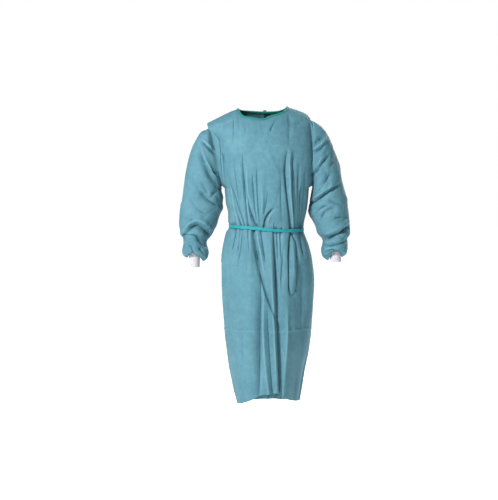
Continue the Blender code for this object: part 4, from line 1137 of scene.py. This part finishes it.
def stitch_row(name, path, outward):
    """Row of oval thread beads along a closed path, each three square rings between two tips."""
    run = np.linalg.norm(np.roll(path, -1, axis=0) - path, axis=1)
    run = np.concatenate([[0], np.cumsum(run)])
    closed, normals = (np.concatenate([values, values[:1]]) for values in (path, outward))
    count = int(run[-1] / STITCH_PITCH)
    starts = (np.arange(count) + 0.5) * run[-1] / count
    ends = [np.stack([np.interp(starts + shift, run, closed[:, axis]) for axis in range(3)], axis=1)
            for shift in (-STITCH_LENGTH / 2, STITCH_LENGTH / 2)]
    up = unit(np.stack([np.interp(starts, run, normals[:, axis]) for axis in range(3)], axis=1))
    way = unit(ends[1] - ends[0])
    side = np.cross(up, way)
    ring = np.arange(4) * np.pi / 2
    bead = [[-0.5, 0, 0]]
    for along, thick in ((-0.32, 0.8), (0, 1), (0.32, 0.8)):
        bead += [[along, thick * np.cos(turn) / 2, thick * np.sin(turn) / 2] for turn in ring]
    bead = np.array(bead + [[0.5, 0, 0]])
    points = ((ends[0] + ends[1])[:, None] / 2
              + way[:, None] * (bead[:, :1] * STITCH_LENGTH)
              + side[:, None] * (bead[:, 1:2] * STITCH_THICK)
              + up[:, None] * (bead[:, 2:] * STITCH_THICK))
    faces = [(0, 1 + (k + 1) % 4, 1 + k) for k in range(4)]
    for low in (1, 5):
        faces += [(low + k, low + (k + 1) % 4, low + 4 + (k + 1) % 4) for k in range(4)]
        faces += [(low + k, low + 4 + (k + 1) % 4, low + 4 + k) for k in range(4)]
    faces += [(13, 9 + k, 9 + (k + 1) % 4) for k in range(4)]
    faces = np.array(faces)[None] + len(bead) * np.arange(count)[:, None, None]
    made = new_piece(name, points.reshape(-1, 3), faces.reshape(-1, 3), thread)
    return wear(made, None)


for face_name, face in (("outer", 1), ("inner", -1)):
    proud = face * (BINDING_HALF + 0.15 * MM) - BINDING_SUNK + neck_lift * (face > 0)
    stitch_row(f"gown_neck_stitches_{face_name}",
               neck + neck_in * STITCH_UP + neck_out * proud, neck_out * face)

# Waist tape
# A woven turquoise tape, drawn round the waist over the folds. It bridges the troughs, and its
# ends are knotted at centre back and hang down.
TAPE_WIDTH = 12.5 * MM
TAPE_THICK = 1.0 * MM
TAPE_CLEAR = 0.9 * MM
SIDE_JOIN = 0.9977
TAPE_BLUE = (0.008, 0.185, 0.195)
tape_cloth, tape_shader, start = finish("belt_tape", TAPE_BLUE, 0.6, 0.05)
on_tape = start.node("ShaderNodeUVMap", {"uv_map": "cloth_metres"})
warp = start.node("ShaderNodeTexWave", {"bands_direction": "Y"}, {
    "Vector": on_tape, "Scale": 380.0, "Distortion": 0.3})
twill = start.node("ShaderNodeTexWave", {"bands_direction": "DIAGONAL"}, {
    "Vector": on_tape, "Scale": 260.0, "Distortion": 0.4})
fading = start.node("ShaderNodeTexNoise", {}, {"Vector": on_tape, "Scale": 70.0, "Detail": 3.0})
tape_colour = (fading * 0.7 + twill * 0.3).blend((0.003, 0.118, 0.142, 1),
                                                 (0.006, 0.178, 0.206, 1))
dress(tape_shader, tape_colour, None, warp * 0.4 + twill * 0.5, 0.3 * MM, 0.7)


def belt_grid(front, back):
    """Tape all round the waist, just clear of the plain form beneath, a little uneven."""
    height = WAIST + np.linspace(-0.5, 0.5, 7)[:, None] * TAPE_WIDTH
    square = np.full(height.shape, np.pi / 2)
    share = np.interp(WAIST, [HEM, ROLL], [LAP_AT_HEM, LAP_AT_NECK])
    strips = []
    for side, across in ((-1, front), (1, back)):
        strip = body_shape(side, across[None], height, square, square)
        outward = grid_normals(strip)
        outward *= np.sign(outward[..., 1:2] * side)
        lift = tape_lift(across, share) if side > 0 else 0 * across
        strip = strip + outward * (TAPE_CLEAR + lift)[:, None]
        strip[..., 2] += 0.7 * MM * np.sin(31 * across) + 0.4 * MM * np.sin(67 * across + 1)
        strips.append(strip)
    return np.concatenate([strips[0], strips[1][:, 1:-1]], axis=1)


round_half = np.linspace(-SIDE_JOIN, SIDE_JOIN, 320)
tape_grid = belt_grid(round_half, -round_half)
belt = cloth_piece("gown_waist_tape", tape_grid, "belt", tape_cloth, ring=True,
                   wall=TAPE_THICK, grow=1)

# Knots and hanging ends
# The tape and the binding are each tied once at centre back. Each knot is a lump of wrapped
# strip, and its two ends hang flat over the panels.
BELT_KNOT = (26, 14, 20)
NECK_KNOT = (15, 9, 10)
KNOT_X = 0.004
BELT_TIE_LENGTH = 0.240
NECK_END_CLEAR = 1.8 * MM


def knot_grid(middle, size, wraps):
    """Wrapped knot: an oval ball with a groove wherever one turn of the strip meets the next."""
    rise = np.linspace(-np.pi / 2 + 0.02, np.pi / 2 - 0.02, 40)[:, None]
    turn = np.linspace(0, 2 * np.pi, 64, endpoint=False)[None]
    groove = np.abs(np.sin(wraps * rise + 1.1 * np.sin(turn + 0.5)))
    swell = 0.80 + 0.20 * groove ** 0.5
    x = np.sign(np.cos(turn)) * np.abs(np.cos(turn)) ** 0.8 * np.cos(rise) ** 0.7
    y = np.sign(np.sin(turn)) * np.abs(np.sin(turn)) ** 0.8 * np.cos(rise) ** 0.7
    z = np.sin(rise) + 0 * turn
    ball = np.stack([x, y, z], axis=-1) * swell[..., None]
    return np.array(middle) + ball * np.array(size) * MM / 2


def knot_piece(name, node, middle, size, fabric):
    """Knot as one closed skin, with its poles shut by a fan."""
    grid = knot_grid(middle, size, 2.0)
    rows, columns = grid.shape[:2]
    index = np.arange(rows * columns).reshape(rows, columns)
    index = np.concatenate([index, index[:, :1]], axis=1)
    faces = np.stack([index[:-1, :-1], index[:-1, 1:], index[1:, 1:], index[1:, :-1]],
                     axis=-1).reshape(-1, 4).tolist()
    points = np.concatenate([grid.reshape(-1, 3), grid[:1].mean(axis=1), grid[-1:].mean(axis=1)])
    low, high = rows * columns, rows * columns + 1
    faces += [(low, b, a) for a, b in zip(index[0, :-1], index[0, 1:])]
    faces += [(high, a, b) for a, b in zip(index[-1, :-1], index[-1, 1:])]
    faces = [tuple(int(corner) for corner in face) for face in faces]
    made = new_piece(name, points, faces, fabric)
    places = np.concatenate([points[list(face)][:, [0, 2]] for face in faces])
    made.data.uv_layers.new(name="cloth_metres").data.foreach_set("uv", places.ravel())
    return wear(made, node)


def middle_of(node):
    """Middle of a node's box."""
    low, high = (np.array(corner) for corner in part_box(node))
    return (low + high) / 2


belt_knot = knot_piece("gown_belt_knot", "belt_knot", middle_of("belt_knot"), BELT_KNOT,
                       tape_cloth)
neck_knot = knot_piece("gown_neck_knot", "neck_knot", middle_of("neck_knot"), NECK_KNOT,
                       binding_cloth)


def back_strip(across, height, roll, reach, clear):
    """Strip of points that lies on the back panels, standing off them by clear."""
    points = body_shape(1, across, height, roll, reach)
    outward = grid_normals(points)
    outward *= np.sign(outward[..., 1:2])
    moved = np.clip(fold_height(points, BACK_FOLDS), -4 * MM, None)
    return points + outward * (moved + LAP + clear)[..., None]


def belt_tie(hand, top):
    """End of the waist tape, hanging from its knot down the back of the skirt."""
    share = np.linspace(0, 1, 90)[:, None]
    raised = line_height(BACK_WAIST, np.array(KNOT_X)) - WAIST
    height = top - raised - share * BELT_TIE_LENGTH
    leaning = hand * (BELT_KNOT[0] / 4 * MM + share * 0.030)
    width = (TAPE_WIDTH - 1 * MM) * (0.75 + 0.25 * share)
    x = KNOT_X + leaning + np.linspace(0.5, -0.5, 7) * width
    square = np.full(height.shape, np.pi / 2)
    across = across_at(x, height, square, square)
    return back_strip(across, height, square, square, TAPE_CLEAR)[::-1]


def neck_tie(hand):
    """End of the neck binding, hanging from its knot over the shoulder blades."""
    first = np.radians(1.2)
    share = np.linspace(0, 1, 60)[:, None]
    roll = first + share * (np.pi / 2 - first)
    reach = np.full(roll.shape, np.pi / 2 - ARMHOLE_TURN)
    leaning = hand * (NECK_KNOT[0] / 4 * MM + share * 0.022)
    x = leaning + np.linspace(0.5, -0.5, 6) * (BINDING_WIDTH - 1 * MM)
    height = np.full(roll.shape, ROLL)
    across = across_at(x, height, roll, reach)
    return back_strip(across, height, roll, reach, NECK_END_CLEAR)[::-1]


tie_top = middle_of("belt_knot")[2] - TAPE_WIDTH / 2 - 2.2 * MM
belt_ties = [cloth_piece(f"gown_belt_end_{side}", belt_tie(hand, tie_top), f"belt_tie_{side}",
                         tape_cloth, wall=TAPE_THICK, grow=1)
             for side, hand in (("left", 1), ("right", -1))]
neck_ties = [cloth_piece(f"gown_neck_end_{side}", neck_tie(hand), f"neck_tie_{side}",
                         binding_cloth, wall=1.4 * MM, grow=1)
             for side, hand in (("left", 1), ("right", -1))]
